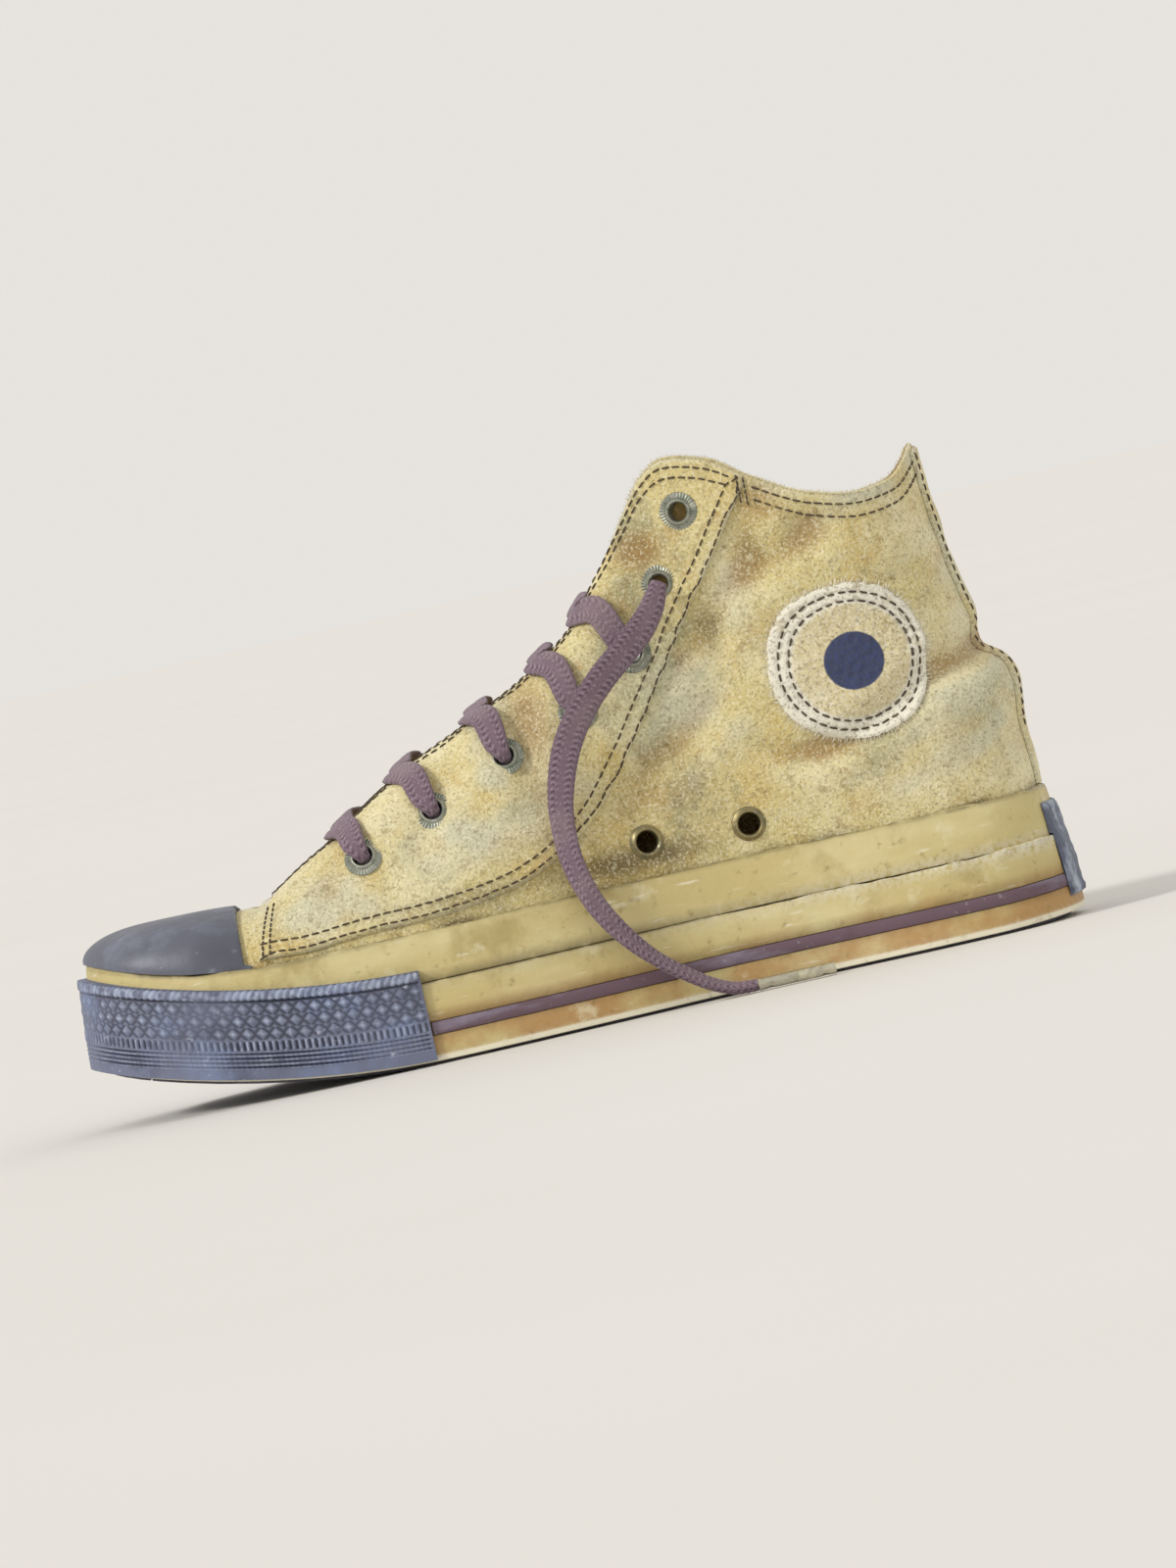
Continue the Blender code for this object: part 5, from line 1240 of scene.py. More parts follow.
def threadStitch(length, radius):  # one stitch: a short thread that dips into the hide at both ends
    rows, sides = 7, 6
    points = []
    for k in range(rows):
        share = k / (rows - 1)
        x = (share - 0.5) * length
        lift = radius * 0.9 * (1 - (2 * share - 1) ** 4) - radius * 0.8 * (abs(2 * share - 1) ** 6)
        size = radius * (1 - 0.45 * abs(2 * share - 1) ** 6)
        for j in range(sides):
            angle = 2 * math.pi * j / sides
            points.append((x, size * math.cos(angle), lift + size * math.sin(angle)))
    faces = gridFaces(rows, sides, closedColumns=True) + flatEnds(rows, sides)
    return helperObject("threadStitch", points, faces)


# The upper

upper = {"columns": 250, "rows": 120, "innerRows": 34, "rollRows": 5}


def makeUpper():
    sides, places = ringColumns(upper["columns"])
    count = len(places)
    shares = np.concatenate([
        np.linspace(0, 0.3, 22, endpoint=False), np.linspace(0.3, 1.0, upper["rows"] - 22),
    ])
    shareGrid = np.broadcast_to(shares[:, None], (len(shares), count))
    outer, normal = worn(sides, places, shareGrid)
    # the rim: rolled over by half the wall, a little uneven from wear
    wall = shoe["wall"]
    up = unit(outer[-1] - outer[-4])
    rim = []
    for k in range(1, upper["rollRows"]):
        angle = math.pi * k / upper["rollRows"]
        rim.append(outer[-1] + normal[-1] * (math.cos(angle) - 1) * wall / 2 + up * math.sin(angle) * wall / 2)
    inner, _ = worn(sides, places, np.linspace(1.0, 0.0, upper["innerRows"])[:, None], -wall)
    points = np.concatenate([outer, np.array(rim), inner], 0)
    rows = len(points)
    allSides = np.broadcast_to(sides, (rows, count))
    faces = gridFaces(rows, count, closedColumns=True, closedRows=True)
    isOuter = np.zeros((rows, count))
    isOuter[: len(shares) + 2] = 1
    noise = 0.5 + 0.5 * softNoise(points, 14 * mm, 21)
    edgeDistance = np.zeros((rows, count))
    edgeDistance[: len(shares)] = smoothStep(0.955, 1.0, shareGrid)
    edgeDistance[len(shares) : len(shares) + upper["rollRows"]] = 1
    folds = foldHeight(allSides, points, np.full((rows, count), 0.5))
    # crease valleys are painted darker brown: painted shade in the folds
    creaseShade = np.clip(-folds / (2.2 * mm), 0, 1)
    creaseHigh = np.clip(folds / (1.4 * mm), 0, 1)
    aboveSole = points[..., 2] - rise(points[..., 0]) - shoe["outsoleStep"]
    aboveFoxing = aboveSole - foxingTop(sides, places)
    skirt = np.exp(-np.clip(aboveFoxing, 0, None) / (2.2 * mm))
    pale = np.maximum(0.75 * edgeDistance, 0.7 * creaseHigh)
    pale = np.maximum(spotValue(allSides, points, paleSpots), pale) * (0.55 + 0.6 * noise)
    brown = np.maximum(spotValue(allSides, points, brownSpots), 0.8 * creaseShade)
    soilAndShade = np.maximum(spotValue(allSides, points, soilSpots), 0.75 * skirt * noise)
    # the inner face is painted darker: painted shade inside the shoe, beside the real soil of the outer face
    inside = 1 - isOuter
    attributes = {
        "pale": pale * isOuter,
        "brown": np.maximum(brown * isOuter, 0.8 * inside),
        "soilAndShade": np.maximum(soilAndShade * isOuter, 0.45 * inside),
        "red": spotValue(allSides, points, redSpots) * isOuter,
    }
    piece = makePiece("upperShell", points, faces, suede, 60, attributes)
    holes = [(p, n, eyeletHole) for _, _, p, n in seats.values()]
    punchHoles(piece, holes + [(p, n, ventHole) for _, _, p, n in ventSeats])
    finishPiece(piece, "suede", "upper")
    return piece


makeUpper()
print("upper made")


def wearAttributes(sides, points, edge):
    noise = 0.5 + 0.5 * softNoise(points, 12 * mm, 22)
    heights = foldHeight(sides, points, np.full(sides.shape, 0.5))
    high, low = np.clip(heights / (1.4 * mm), 0, 1), np.clip(-heights / (2.2 * mm), 0, 1)
    pale = np.maximum(spotValue(sides, points, paleSpots), np.maximum(0.8 * edge, 0.7 * high))
    return {
        "pale": pale * (0.55 + 0.6 * noise),
        # brown: real stains, and painted shade in the crease valleys
        "brown": np.maximum(spotValue(sides, points, brownSpots), 0.8 * low),
        "soilAndShade": spotValue(sides, points, soilSpots),
        "red": spotValue(sides, points, redSpots),
    }


def overlay(name, sideGrid, placeGrid, shareGrid, top, bottom, edgeWidth, material, freeEdges, shift=None):
    # a sheet on the worn upper; its free edges are rounded down to the surface
    rows, columns = placeGrid.shape
    base, normal = worn(sideGrid, placeGrid, shareGrid)
    if shift is not None:
        base = base + shift
        turned = unit(np.cross(np.gradient(base, axis=0), np.gradient(base, axis=1)))
        normal = turned * np.sign((turned * normal).sum(-1).mean())
    edgeAway = np.full((rows, columns), 1.0)
    for edge in freeEdges:
        line = {"low": base[:, :1], "high": base[:, -1:], "first": base[:1], "last": base[-1:]}[edge]
        away = np.linalg.norm(base - line, axis=-1)
        edgeAway = np.minimum(edgeAway, away)
    rounded = np.sqrt(np.clip(1 - (1 - np.clip(edgeAway / edgeWidth, 0, 1)) ** 2, 0, 1))
    lift = bottom + (top - bottom) * (0.35 + 0.65 * rounded)
    outer = base + normal * lift[..., None]
    inner = base + normal * bottom
    points = np.concatenate([outer.reshape(-1, 3), inner.reshape(-1, 3)])
    edgeShare = np.exp(-edgeAway / (1.2 * mm))
    wear = wearAttributes(
        np.concatenate([sideGrid, sideGrid]), np.concatenate([outer, inner]), np.concatenate([edgeShare, edgeShare])
    )
    return makePiece(name, points, sheetFaces(rows, columns), material, 55, wear)


eyestay = {"columns": 190, "rows": 70, "top": 1.5 * mm, "bottom": 0.12 * mm, "edgeWidth": 1.1 * mm}


def makeEyestay(side, label):
    places = np.linspace(eyestayEdge[0][0], eyestayEdge[-1][0], eyestay["columns"])
    low = pchip(eyestayEdge, places)
    share = np.linspace(0, 1, eyestay["rows"])
    shareGrid = low[:, None] + (1 - low[:, None]) * share[None, :]
    placeGrid = np.broadcast_to(places[:, None], shareGrid.shape)
    sideGrid = np.full(shareGrid.shape, float(side))
    piece = overlay(
        "eyestay" + label, sideGrid, placeGrid, shareGrid, eyestay["top"], eyestay["bottom"], eyestay["edgeWidth"],
        suede, ["low", "high", "first", "last"],
    )
    punchHoles(piece, [(p, n, eyeletHole) for (s, _), (_, _, p, n) in seats.items() if s == side])
    finishPiece(piece, "suede", "eyestay_" + label.lower())


makeEyestay(-1, "Medial")
makeEyestay(1, "Lateral")

backstay = {"half": 0.026, "top": 1.25 * mm, "bottom": 0.12 * mm, "edgeWidth": 0.9 * mm}


def makeBackstay():
    sides, places = columnsBetween(backstay["half"], backstay["half"], 13, throughToe=False)
    low = shareAt(sides, places, rise(ringAt(sides, places)[0][:, 0]) + shoe["outsoleStep"] + shoe["foxingTop"] + 0.4 * mm)
    share = np.linspace(0, 1, 120)
    shareGrid = low[:, None] + (0.998 - low[:, None]) * share[None, :]
    sideGrid = np.broadcast_to(sides[:, None], shareGrid.shape)
    placeGrid = np.broadcast_to(places[:, None], shareGrid.shape)
    piece = overlay(
        "backstayStrip", sideGrid, placeGrid, shareGrid, backstay["top"], backstay["bottom"], backstay["edgeWidth"],
        suede, ["first", "last", "high"],
    )
    finishPiece(piece, "suede", "backstay")


makeBackstay()
print("overlays made")


# Sidewall: main foxing band, upper strip, pinstripe, toe bumper, heel label

sidewall = {
    "columns": 420,
    "lowerBand": 7.6 * mm,
    "stripeWidth": 3.9 * mm,
    "stripeDepth": 0.9 * mm,
    "stripeProud": 0.35 * mm,
    "edge": 0.9 * mm,
}
bumperEnds = {side: placeAtX(side, toeTip + shoe["bumperLength"]) for side in (-1, 1)}


def sweepBand(name, sides, places, section, closed, material, attributes, smoothAngle=50):
    points = section(sides, places)  # columns, section points, 3
    columns, size = points.shape[:2]
    faces = gridFaces(columns, size, closedColumns=True, closedRows=closed)
    flat = points.reshape(-1, 3)
    values = attributes(sides, places, points)
    if not closed:
        faces += flatEnds(columns, size)
    return makePiece(name, flat, faces, material, smoothAngle, values)


def innerFace(sides, places, heights):  # just outside the upper, or outside the outsole lower down
    found = []
    point, normal = ringAt(sides, places)
    base = rise(point[..., 0]) + shoe["outsoleStep"]
    for h in heights:
        z = base + h
        low = rise(point[..., 0]) + shoe["floorTop"] + shoe["seatGap"]
        share = shareAt(sides, places, z)
        onUpper = worn(sides, places, share)[0][..., :2] + normal * 0.25 * mm
        onSole = point - normal * shoe["sidewall"]
        plan = np.where((z <= low)[..., None], onSole, onUpper)
        found.append(np.concatenate([plan, np.broadcast_to(z, places.shape)[..., None]], -1))
    return np.stack(found, 1)


def seamWave(places, sides, seed):  # uneven hand-laid edges, in metres
    along = np.where(sides < 0, places, -places) * sideLength
    points = np.stack([along, np.zeros_like(along), np.zeros_like(along)], -1)
    return 0.28 * mm * softNoise(points, 46 * mm, seed) + 0.12 * mm * softNoise(points, 9 * mm, seed + 1)


def heelShare(sides, places):  # 1 at the heel, fading to the waist
    x = ringAt(sides, places)[0][..., 0]
    return smoothStep(0.01, 0.10, x)


def makeFoxing():
    sides, places = ringColumns(sidewall["columns"])
    lower = sidewall["lowerBand"]
    stripeTop = lower + sidewall["stripeWidth"]
    limit = np.where(sides < 0, bumperEnds[-1], bumperEnds[1])
    groove = np.where(places < limit + 0.012, 1.0, 0.0)
    wave = seamWave(places, sides, 31)
    edge = sidewall["edge"]

    def section(s, p):
        depth = sidewall["stripeDepth"] * groove
        top = shoe["bandTop"] + wave * heelShare(s, p) * 1.6
        peel = 0.5 * mm * heelShare(s, p) * (0.5 + 0.5 * softNoise(wallPoint(s, p, 0.0), 17 * mm, 33))
        above, nick = shoe["bandTop"] - stripeTop, 0.25 * mm
        rows = [
            (0, -edge / 2), (0.25 * edge, -0.1 * edge), (edge, 0),
            (0.35 * lower, 0.12 * mm), (0.7 * lower, 0.1 * mm), (lower - nick, 0), (lower, -nick),
            (lower, -depth), (stripeTop, -depth), (stripeTop, -nick), (stripeTop + nick, 0),
            (stripeTop + 0.33 * above, 0.12 * mm), (stripeTop + 0.66 * above, 0.1 * mm),
            (top - 0.9 * edge, 0.5 * peel), (top - 0.3 * edge, peel - 0.15 * edge),
            (top, peel - 0.5 * edge), (top, -1.6 * edge),
        ]
        outer = np.stack([wallPoint(s, p, h, proud) for h, proud in rows], 1)
        floor = shoe["floorTop"] + shoe["seatGap"] - shoe["outsoleStep"]
        inner = innerFace(s, p, (shoe["bandTop"] - 0.3 * mm, (shoe["bandTop"] + floor) / 2, floor, 0.0))
        return np.concatenate([outer, inner], 1)

    def attributes(s, p, points):
        height = points[..., 2] - rise(points[..., 0]) - shoe["outsoleStep"]
        heel = heelShare(s, p)[:, None]
        chalk = np.exp(-np.abs(height - shoe["bandTop"]) / (1.3 * mm)) * (0.25 + 0.9 * heel)
        chalk = np.maximum(chalk, 0.95 * np.exp(-np.clip(height, 0, None) / (0.9 * mm)))
        seam = np.exp(-np.abs(height - shoe["bandTop"]) / (0.5 * mm)) * (1 - 0.6 * heel)
        for line in (lower, stripeTop):
            seam = np.maximum(seam, 0.7 * np.exp(-np.abs(height - line) / (0.35 * mm)))
        tan = smoothStep(0, 1, (stripeTop + 6 * mm - height) / (8 * mm)) * 0.9 + 0.1
        rim = 1 - smoothStep(0.9 * mm, 1.6 * mm, height)
        return {"chalk": chalk, "seam": seam, "tan": tan, "rim": rim}

    piece = sweepBand("foxingBand", sides, places, section, True, foxingRubber, attributes)
    finishPiece(piece, "foxing_rubber", "foxing")

    def stripSection(s, p):
        low = shoe["bandTop"] + 0.15 * mm
        high = foxingTop(s, p) + seamWave(p, s, 41) * 1.1
        lift = 0.30 * mm * (0.5 + 0.5 * softNoise(wallPoint(s, p, 0.0), 33 * mm, 43))
        tall = high - low
        rows = [
            (low, -0.25 * mm), (low + 0.3 * mm, 0), (low + 0.25 * tall, 0.1 * mm), (low + 0.5 * tall, 0.1 * mm),
            (low + 0.75 * tall, 0), (high - 1.6 * mm, -0.05 * mm), (high - 0.6 * mm, lift - 0.35 * mm),
            (high - 0.1 * mm, lift - 0.8 * mm), (high, lift - 1.2 * mm), (high - 0.1 * mm, lift - 1.7 * mm),
        ]
        outer = np.stack([wallPoint(s, p, h, proud - shoe["stripStep"]) for h, proud in rows], 1)
        tops = shoe["foxingTopAtToe"]
        inner = innerFace(s, p, (foxingTop(s, p) - 1.6 * mm, 0.5 * (low + tops), low))
        return np.concatenate([outer, inner], 1)

    def stripAttributes(s, p, points):
        height = points[..., 2] - rise(points[..., 0]) - shoe["outsoleStep"]
        top = foxingTop(s, p)[:, None]
        heel = heelShare(s, p)[:, None]
        chalk = np.exp(-np.abs(height - shoe["bandTop"]) / (0.9 * mm)) * (0.15 + 0.9 * heel)
        seam = np.exp(-np.abs(height - top) / (0.5 * mm)) * 0.9
        seam = np.maximum(seam, np.exp(-np.abs(height - shoe["bandTop"]) / (0.6 * mm)) * (1 - 0.7 * heel))
        return {"chalk": chalk, "seam": seam, "tan": 0.12 + 0 * height}

    piece = sweepBand("foxingStrip", sides, places, stripSection, True, foxingRubber, stripAttributes)
    finishPiece(piece, "foxing_rubber", "foxing_upper")

    def stripeSection(s, p):
        low, high = lower + 0.12 * mm, stripeTop - 0.12 * mm
        proud = sidewall["stripeProud"]
        back = 0.1 * mm - sidewall["stripeDepth"]
        rows = [
            (low, back), (low, 0.2 * proud), (low + 0.4 * mm, 0.8 * proud), ((low + high) / 2, proud),
            (high - 0.4 * mm, 0.8 * proud), (high, 0.2 * proud), (high, back),
        ]
        return np.stack([wallPoint(s, p, height, out) for height, out in rows], 1)

    start, end = bumperEnds[-1] - 0.0015, bumperEnds[1] - 0.0015
    sides, places = columnsBetween(start, end, 260, throughToe=False)
    piece = sweepBand(
        "pinstripeBand", sides, places, stripeSection, False, stripeRubber, lambda s, p, points: {}
    )
    finishPiece(piece, "stripe_rubber", "pinstripe")


makeFoxing()
print("foxing made")

bumper = {
    "bottom": 0.6 * mm,
    "top": 27.0 * mm,
    "rim": 3.3 * mm,
    "rope": 2.1 * mm,
    "pyramid": 4.2 * mm,
    "pyramidRows": 3,
    "pyramidHeight": 0.75 * mm,
    "ribPitch": 1.9 * mm,
    "columns": 620,
}


def makeBumper():
    half = bumper["columns"] // 2
    sides, places = columnsBetween(bumperEnds[-1], bumperEnds[1], half)
    plan = wallPoint(sides, places, np.full(places.shape, 10 * mm))
    along = np.concatenate([[0], np.cumsum(np.linalg.norm(np.diff(plan[:, :2], axis=0), axis=1))])
    gap, thickness = shoe["gap"], shoe["bumperThickness"]
    heights = np.concatenate([
        np.linspace(bumper["bottom"], 7.4 * mm, 24, endpoint=False),
        np.linspace(7.4 * mm, 23.4 * mm, 52, endpoint=False),
        np.linspace(23.4 * mm, bumper["top"], 14),
    ])
    u, h = along[:, None], heights[None, :]
    relief = np.zeros((len(along), len(heights)))
    # plain band below, then fine lines, short upright ribs, rows of pyramids, roped rim
    lineZone = smoothStep(3.4 * mm, 3.7 * mm, h) * (1 - smoothStep(8.6 * mm, 8.9 * mm, h))
    relief = relief + lineZone * 0.28 * mm * np.cos((h - 3.6 * mm) / (1.3 * mm) * 2 * math.pi)
    notch = 0.5 + 0.5 * np.cos(u / (1.5 * mm) * 2 * math.pi)
    relief = relief - lineZone * 0.12 * mm * notch
    ribZone = smoothStep(8.9 * mm, 9.2 * mm, h) * (1 - smoothStep(11.6 * mm, 11.9 * mm, h))
    relief = relief + ribZone * 0.38 * mm * np.cos(u / bumper["ribPitch"] * 2 * math.pi)
    firstRow, lastRow = 12.2 * mm, 23.2 * mm
    rowTall = (lastRow - firstRow) / bumper["pyramidRows"]
    row = (h - firstRow) / rowTall
    shift = 0.5 * (np.floor(row) % 2)
    across = np.abs(((u / bumper["pyramid"] + shift) % 1) - 0.5) * 2
    upright = np.abs((row % 1) - 0.5) * 2
    inRows = smoothStep(firstRow, firstRow + 0.2 * mm, h) * (1 - smoothStep(lastRow - 0.2 * mm, lastRow, h))
    pyramid = np.clip(1 - across - 0.9 * upright, 0, 1) + 0.55 * np.clip(across + 0.9 * upright - 1.1, 0, 1)
    relief = relief + inRows * bumper["pyramidHeight"] * (pyramid - 0.35)
    rimStart = bumper["top"] - bumper["rim"]
    rimZone = smoothStep(rimStart, rimStart + 0.3 * mm, h)
    rope = 0.5 + 0.5 * np.cos((u / bumper["rope"] + (h - rimStart) / bumper["rim"] * 0.8) * 2 * math.pi)
    roundRim = np.sqrt(np.clip(1 - ((h - rimStart - bumper["rim"] / 2) / (bumper["rim"] / 2)) ** 2, 0, 1))
    relief = relief + rimZone * (0.5 * mm * rope + 0.7 * mm * (roundRim - 0.6))
    valley = np.exp(-(((h - rimStart) / (0.45 * mm)) ** 2)) * 0.5 * mm
    relief = relief - valley
    # wear: the pattern is rubbed away towards the tip and in patches
    surface = wallPoint(sides[:, None], places[:, None], np.broadcast_to(heights, relief.shape))
    atTip = smoothStep(0.118, 0.145, -surface[..., 0])
    rubbed = np.clip(0.80 + 0.30 * softNoise(surface, 30 * mm, 51) - 0.30 * atTip, 0.35, 1.1)
    relief = relief * rubbed * 1.25
    ends = np.minimum(along, along[-1] - along)[:, None]
    relief = relief * smoothStep(0, 1.2 * mm, ends)
    outer = wallPoint(sides[:, None], places[:, None], np.broadcast_to(heights, relief.shape), gap + thickness + relief - 0.35 * mm)
    hook = shoe["bandTop"] + 2 * gap
    backRows = [
        (bumper["top"], gap - shoe["stripStep"]), (hook + 0.8 * mm, gap - shoe["stripStep"]),
        (hook, gap), (12 * mm, gap), (bumper["bottom"], gap),
    ]
    back = np.stack([wallPoint(sides, places, height, proud) for height, proud in backRows], 1)
    points = np.concatenate([outer, back], 1)
    columns, size = points.shape[:2]
    faces = gridFaces(columns, size, closedColumns=True) + flatEnds(columns, size)
    # the deep attribute paints shade into the recesses of the relief: painted shade
    level = np.concatenate([relief / (0.38 * mm), np.zeros((columns, len(backRows)))], 1)
    values = {"high": np.clip(level, 0, 1), "deep": np.clip(-level, 0, 1)}
    piece = makePiece("toeBumper", points, faces, bumperRubber, 60, values)
    finishPiece(piece, "bumper_rubber", "toe_bumper")


makeBumper()
print("bumper made")

label = {"bottom": 4.5 * mm, "top": 33.0 * mm, "width": 36 * mm}


def makeLabel():
    reach = {}
    for side in (-1, 1):
        places = np.linspace(0, 0.2, 2000)
        walked = ringAt(side, places)[0]
        length = np.concatenate([[0], np.cumsum(np.linalg.norm(np.diff(walked, axis=0), axis=1))])
        reach[side] = float(np.interp(label["width"] / 2, length, places))
    sides, places = columnsBetween(reach[-1], reach[1], 50, throughToe=False)
    gap, thick, edge = shoe["gap"], shoe["labelThickness"], 0.5 * mm
    step = shoe["bandTop"] + 2 * gap
    heights = np.linspace(label["bottom"], label["top"], 60)
    fromEdge = np.minimum(heights - label["bottom"], label["top"] - heights)[None, :]
    ends = np.minimum(np.arange(len(places)), np.arange(len(places))[::-1])
    rounded = np.minimum(1, np.minimum(ends[:, None] / 2.5, fromEdge / edge))
    overStep = smoothStep(step - 1.5 * mm, step + 2.5 * mm, heights)[None, :]
    surface = wallPoint(sides[:, None], places[:, None], np.broadcast_to(heights, (len(places), len(heights))))
    wornAway = 0.28 * mm * softNoise(surface, 8 * mm, 61) + 0.12 * mm * softNoise(surface, 2.6 * mm, 62)
    frameLine = 0.25 * mm * np.exp(-((fromEdge - 1.8 * mm) / (0.5 * mm)) ** 2)
    proud = gap + thick * (0.3 + 0.7 * rounded) - shoe["stripStep"] * 0.8 * overStep
    proud = proud + wornAway * rounded + frameLine - 0.3 * mm
    outer = wallPoint(sides[:, None], places[:, None], np.broadcast_to(heights, proud.shape), proud)
    backRows = [
        (label["top"], gap - shoe["stripStep"]), (step + edge, gap - shoe["stripStep"]),
        (step, gap), (12 * mm, gap + 0.35 * mm), (label["bottom"], gap),
    ]
    back = np.stack([wallPoint(sides, places, height, proud) for height, proud in backRows], 1)
    points = np.concatenate([outer, back], 1)
    columns, size = points.shape[:2]
    faces = gridFaces(columns, size, closedColumns=True) + flatEnds(columns, size)
    piece = makePiece("heelLabel", points, faces, labelRubber, 55)
    finishPiece(piece, "label_rubber", "heel_label")


makeLabel()

cap = {"top": 1.6 * mm, "bottom": 0.2 * mm, "edgeWidth": 1.4 * mm, "bulge": 3.2 * mm}


def makeToeCap():
    edgeX = toeTip + shoe["toeCapLength"]
    # rows run from one side over the toe box to the other, at fixed distance from the tip
    starts = {side: placeAtX(side, edgeX) for side in (-1, 1)}
    sides, places = columnsBetween(starts[-1], starts[1], 70)
    point = ringAt(sides, places)[0]
    low = shareAt(sides, places, rise(point[:, 0]) + shoe["outsoleStep"] + foxingTop(sides, places) - 0.5 * mm)
    # how far up each column the cap reaches: to its straight back edge
    probe = np.linspace(0, 1, 160)
    reach = np.ones(len(places)) * 0.985
    walls = lastPoint(sides[:, None], places[:, None], probe[None, :])
    for k in range(len(places)):
        past = np.nonzero((walls[k, :, 0] > edgeX - 0.2 * mm) & (probe > low[k]))[0]
        if len(past):
            reach[k] = max(low[k] + 0.02, probe[past[0]])
    share = np.linspace(0, 1, 64)
    shareGrid = low[:, None] + (reach - low)[:, None] * share[None, :]
    sideGrid = np.broadcast_to(sides[:, None], shareGrid.shape)
    placeGrid = np.broadcast_to(places[:, None], shareGrid.shape)
    # its lower edge reaches out to the foxing's rim, so it domes over the ledge behind the rim
    rim = wallPoint(sides, places, foxingTop(sides, places) + 0.1 * mm, -shoe["stripStep"] - 1.0 * mm)
    foot = worn(sides, places, low)[0]
    ahead = smoothStep(0, 0.016, edgeX - ringAt(sides, places)[0][:, 0])
    shift = ((rim - foot) * ahead[:, None])[:, None, :] * (1 - share**1.6)[None, :, None]
    bulge = cap["bulge"] * ahead[:, None] * (np.sin(math.pi * share**0.7) ** 0.8)[None, :]
    shift = shift + bulge[..., None] * np.array([-0.35, 0.0, 0.94])
    piece = overlay(
        "toeCap", sideGrid, placeGrid, shareGrid, cap["top"], cap["bottom"], cap["edgeWidth"], capRubber, ["high"], shift,
    )
    finishPiece(piece, "toe_cap_rubber", "toe_cap")


makeToeCap()
print("toe cap and label made")


# Eyelets and vents: turned rings with a knurled flange

eyelet = {
    "radius": 5.8 * mm,
    "hole": 2.75 * mm,
    "knurls": 34,
    "lift": 1.45 * mm,
    "depth": 4.2 * mm,
}


def makeRing(name, point, normal, radius, hole, knurls, lift, depth, material, slotName, node):
    profile = np.array([
        (hole, -depth), (hole, 0.45 * mm), (hole + 0.12 * mm, 0.85 * mm), (hole + 0.45 * mm, 1.12 * mm),
        (hole + 0.85 * mm, 1.08 * mm), (hole + 1.2 * mm, 0.72 * mm), (hole + 1.45 * mm, 0.50 * mm),
        (radius - 0.95 * mm, 0.50 * mm), (radius - 0.45 * mm, 0.42 * mm), (radius - 0.12 * mm, 0.22 * mm),
        (radius, -0.1 * mm), (radius - 0.3 * mm, -0.25 * mm), (hole + 0.5 * mm, -0.25 * mm), (hole + 0.5 * mm, -depth),
    ])
    count = max(48, knurls * 4)
    angles = np.linspace(0, 2 * math.pi, count, endpoint=False)
    ridges = 0.5 + 0.5 * np.cos(angles * knurls) if knurls else np.zeros(count)
    weight = np.array([0, 0, 0, 0, 0, 0.1, 0.6, 1, 1, 0.5, 0, 0, 0, 0])
    atRim = (profile[:, 0] > radius - 0.5 * mm)[:, None]
    r = profile[:, 0][:, None] - 0.10 * mm * (weight[:, None] * ridges[None, :]) * atRim
    z = profile[:, 1][:, None] - 0.26 * mm * weight[:, None] * ridges[None, :]
    local = np.stack([r * np.cos(angles), r * np.sin(angles), z], -1)
    turn = np.array(Vector(normal).to_track_quat("Z", "Y").to_matrix())
    points = local @ turn.T + point + normal * lift
    faces = gridFaces(len(profile), count, closedColumns=True, closedRows=True)
    piece = makePiece(name, points, faces, material, 40)
    finishPiece(piece, slotName, node)


for side, name in ((-1, "medial"), (1, "lateral")):
    for k in range(len(eyeletSpots)):
        _, _, point, normal = seats[(side, k)]
        makeRing(
            f"laceEyelet{name.title()}{k + 1}", point, normal, eyelet["radius"], eyelet["hole"],
            eyelet["knurls"], eyelet["lift"], eyelet["depth"], eyeletNickel, "aged_nickel",
            f"eyelet_{name}_{k + 1}",
        )
for k, (_, _, point, normal) in enumerate(ventSeats):
    makeRing(
        f"ventEyelet{k + 1}", point, normal, 5.1 * mm, 3.2 * mm, 0, 0.25 * mm, 3.0 * mm,
        ventBrass, "aged_brass", f"vent_eyelet_{k + 1}",
    )
print("eyelets made")


# Ankle patch

patch = {"radius": 23 * mm, "top": 1.9 * mm, "bottom": 0.15 * mm, "rings": 60, "sides": 180,
         "stitchRings": (20.2 * mm, 17.6 * mm), "disc": 8.5 * mm}


def patchFrame():
    place, share = onWall(-1, patchSpot[0] * shoe["length"] / 2, patchSpot[1] * shoe["shaftHeight"])
    centre = lastPoint(-1, place, share)
    across = lastPoint(-1, place - 0.01, share) - centre
    upward = lastPoint(-1, place, share + 0.01) - centre
    perPlace, perShare = 0.01 / np.linalg.norm(across), 0.01 / np.linalg.norm(upward)
    skew = across @ upward / (np.linalg.norm(across) * np.linalg.norm(upward))
    return place, share, perPlace, perShare, skew, math.sqrt(1 - skew**2)


patchPlace, patchShare, perPlace, perShare, patchSkew, patchSquare = patchFrame()


def patchPoint(radius, angle, lift):
    a = radius * np.cos(angle)
    b = radius * np.sin(angle) / patchSquare
    return worn(-1, patchPlace - (a - b * patchSkew) * perPlace, patchShare + b * perShare, lift)


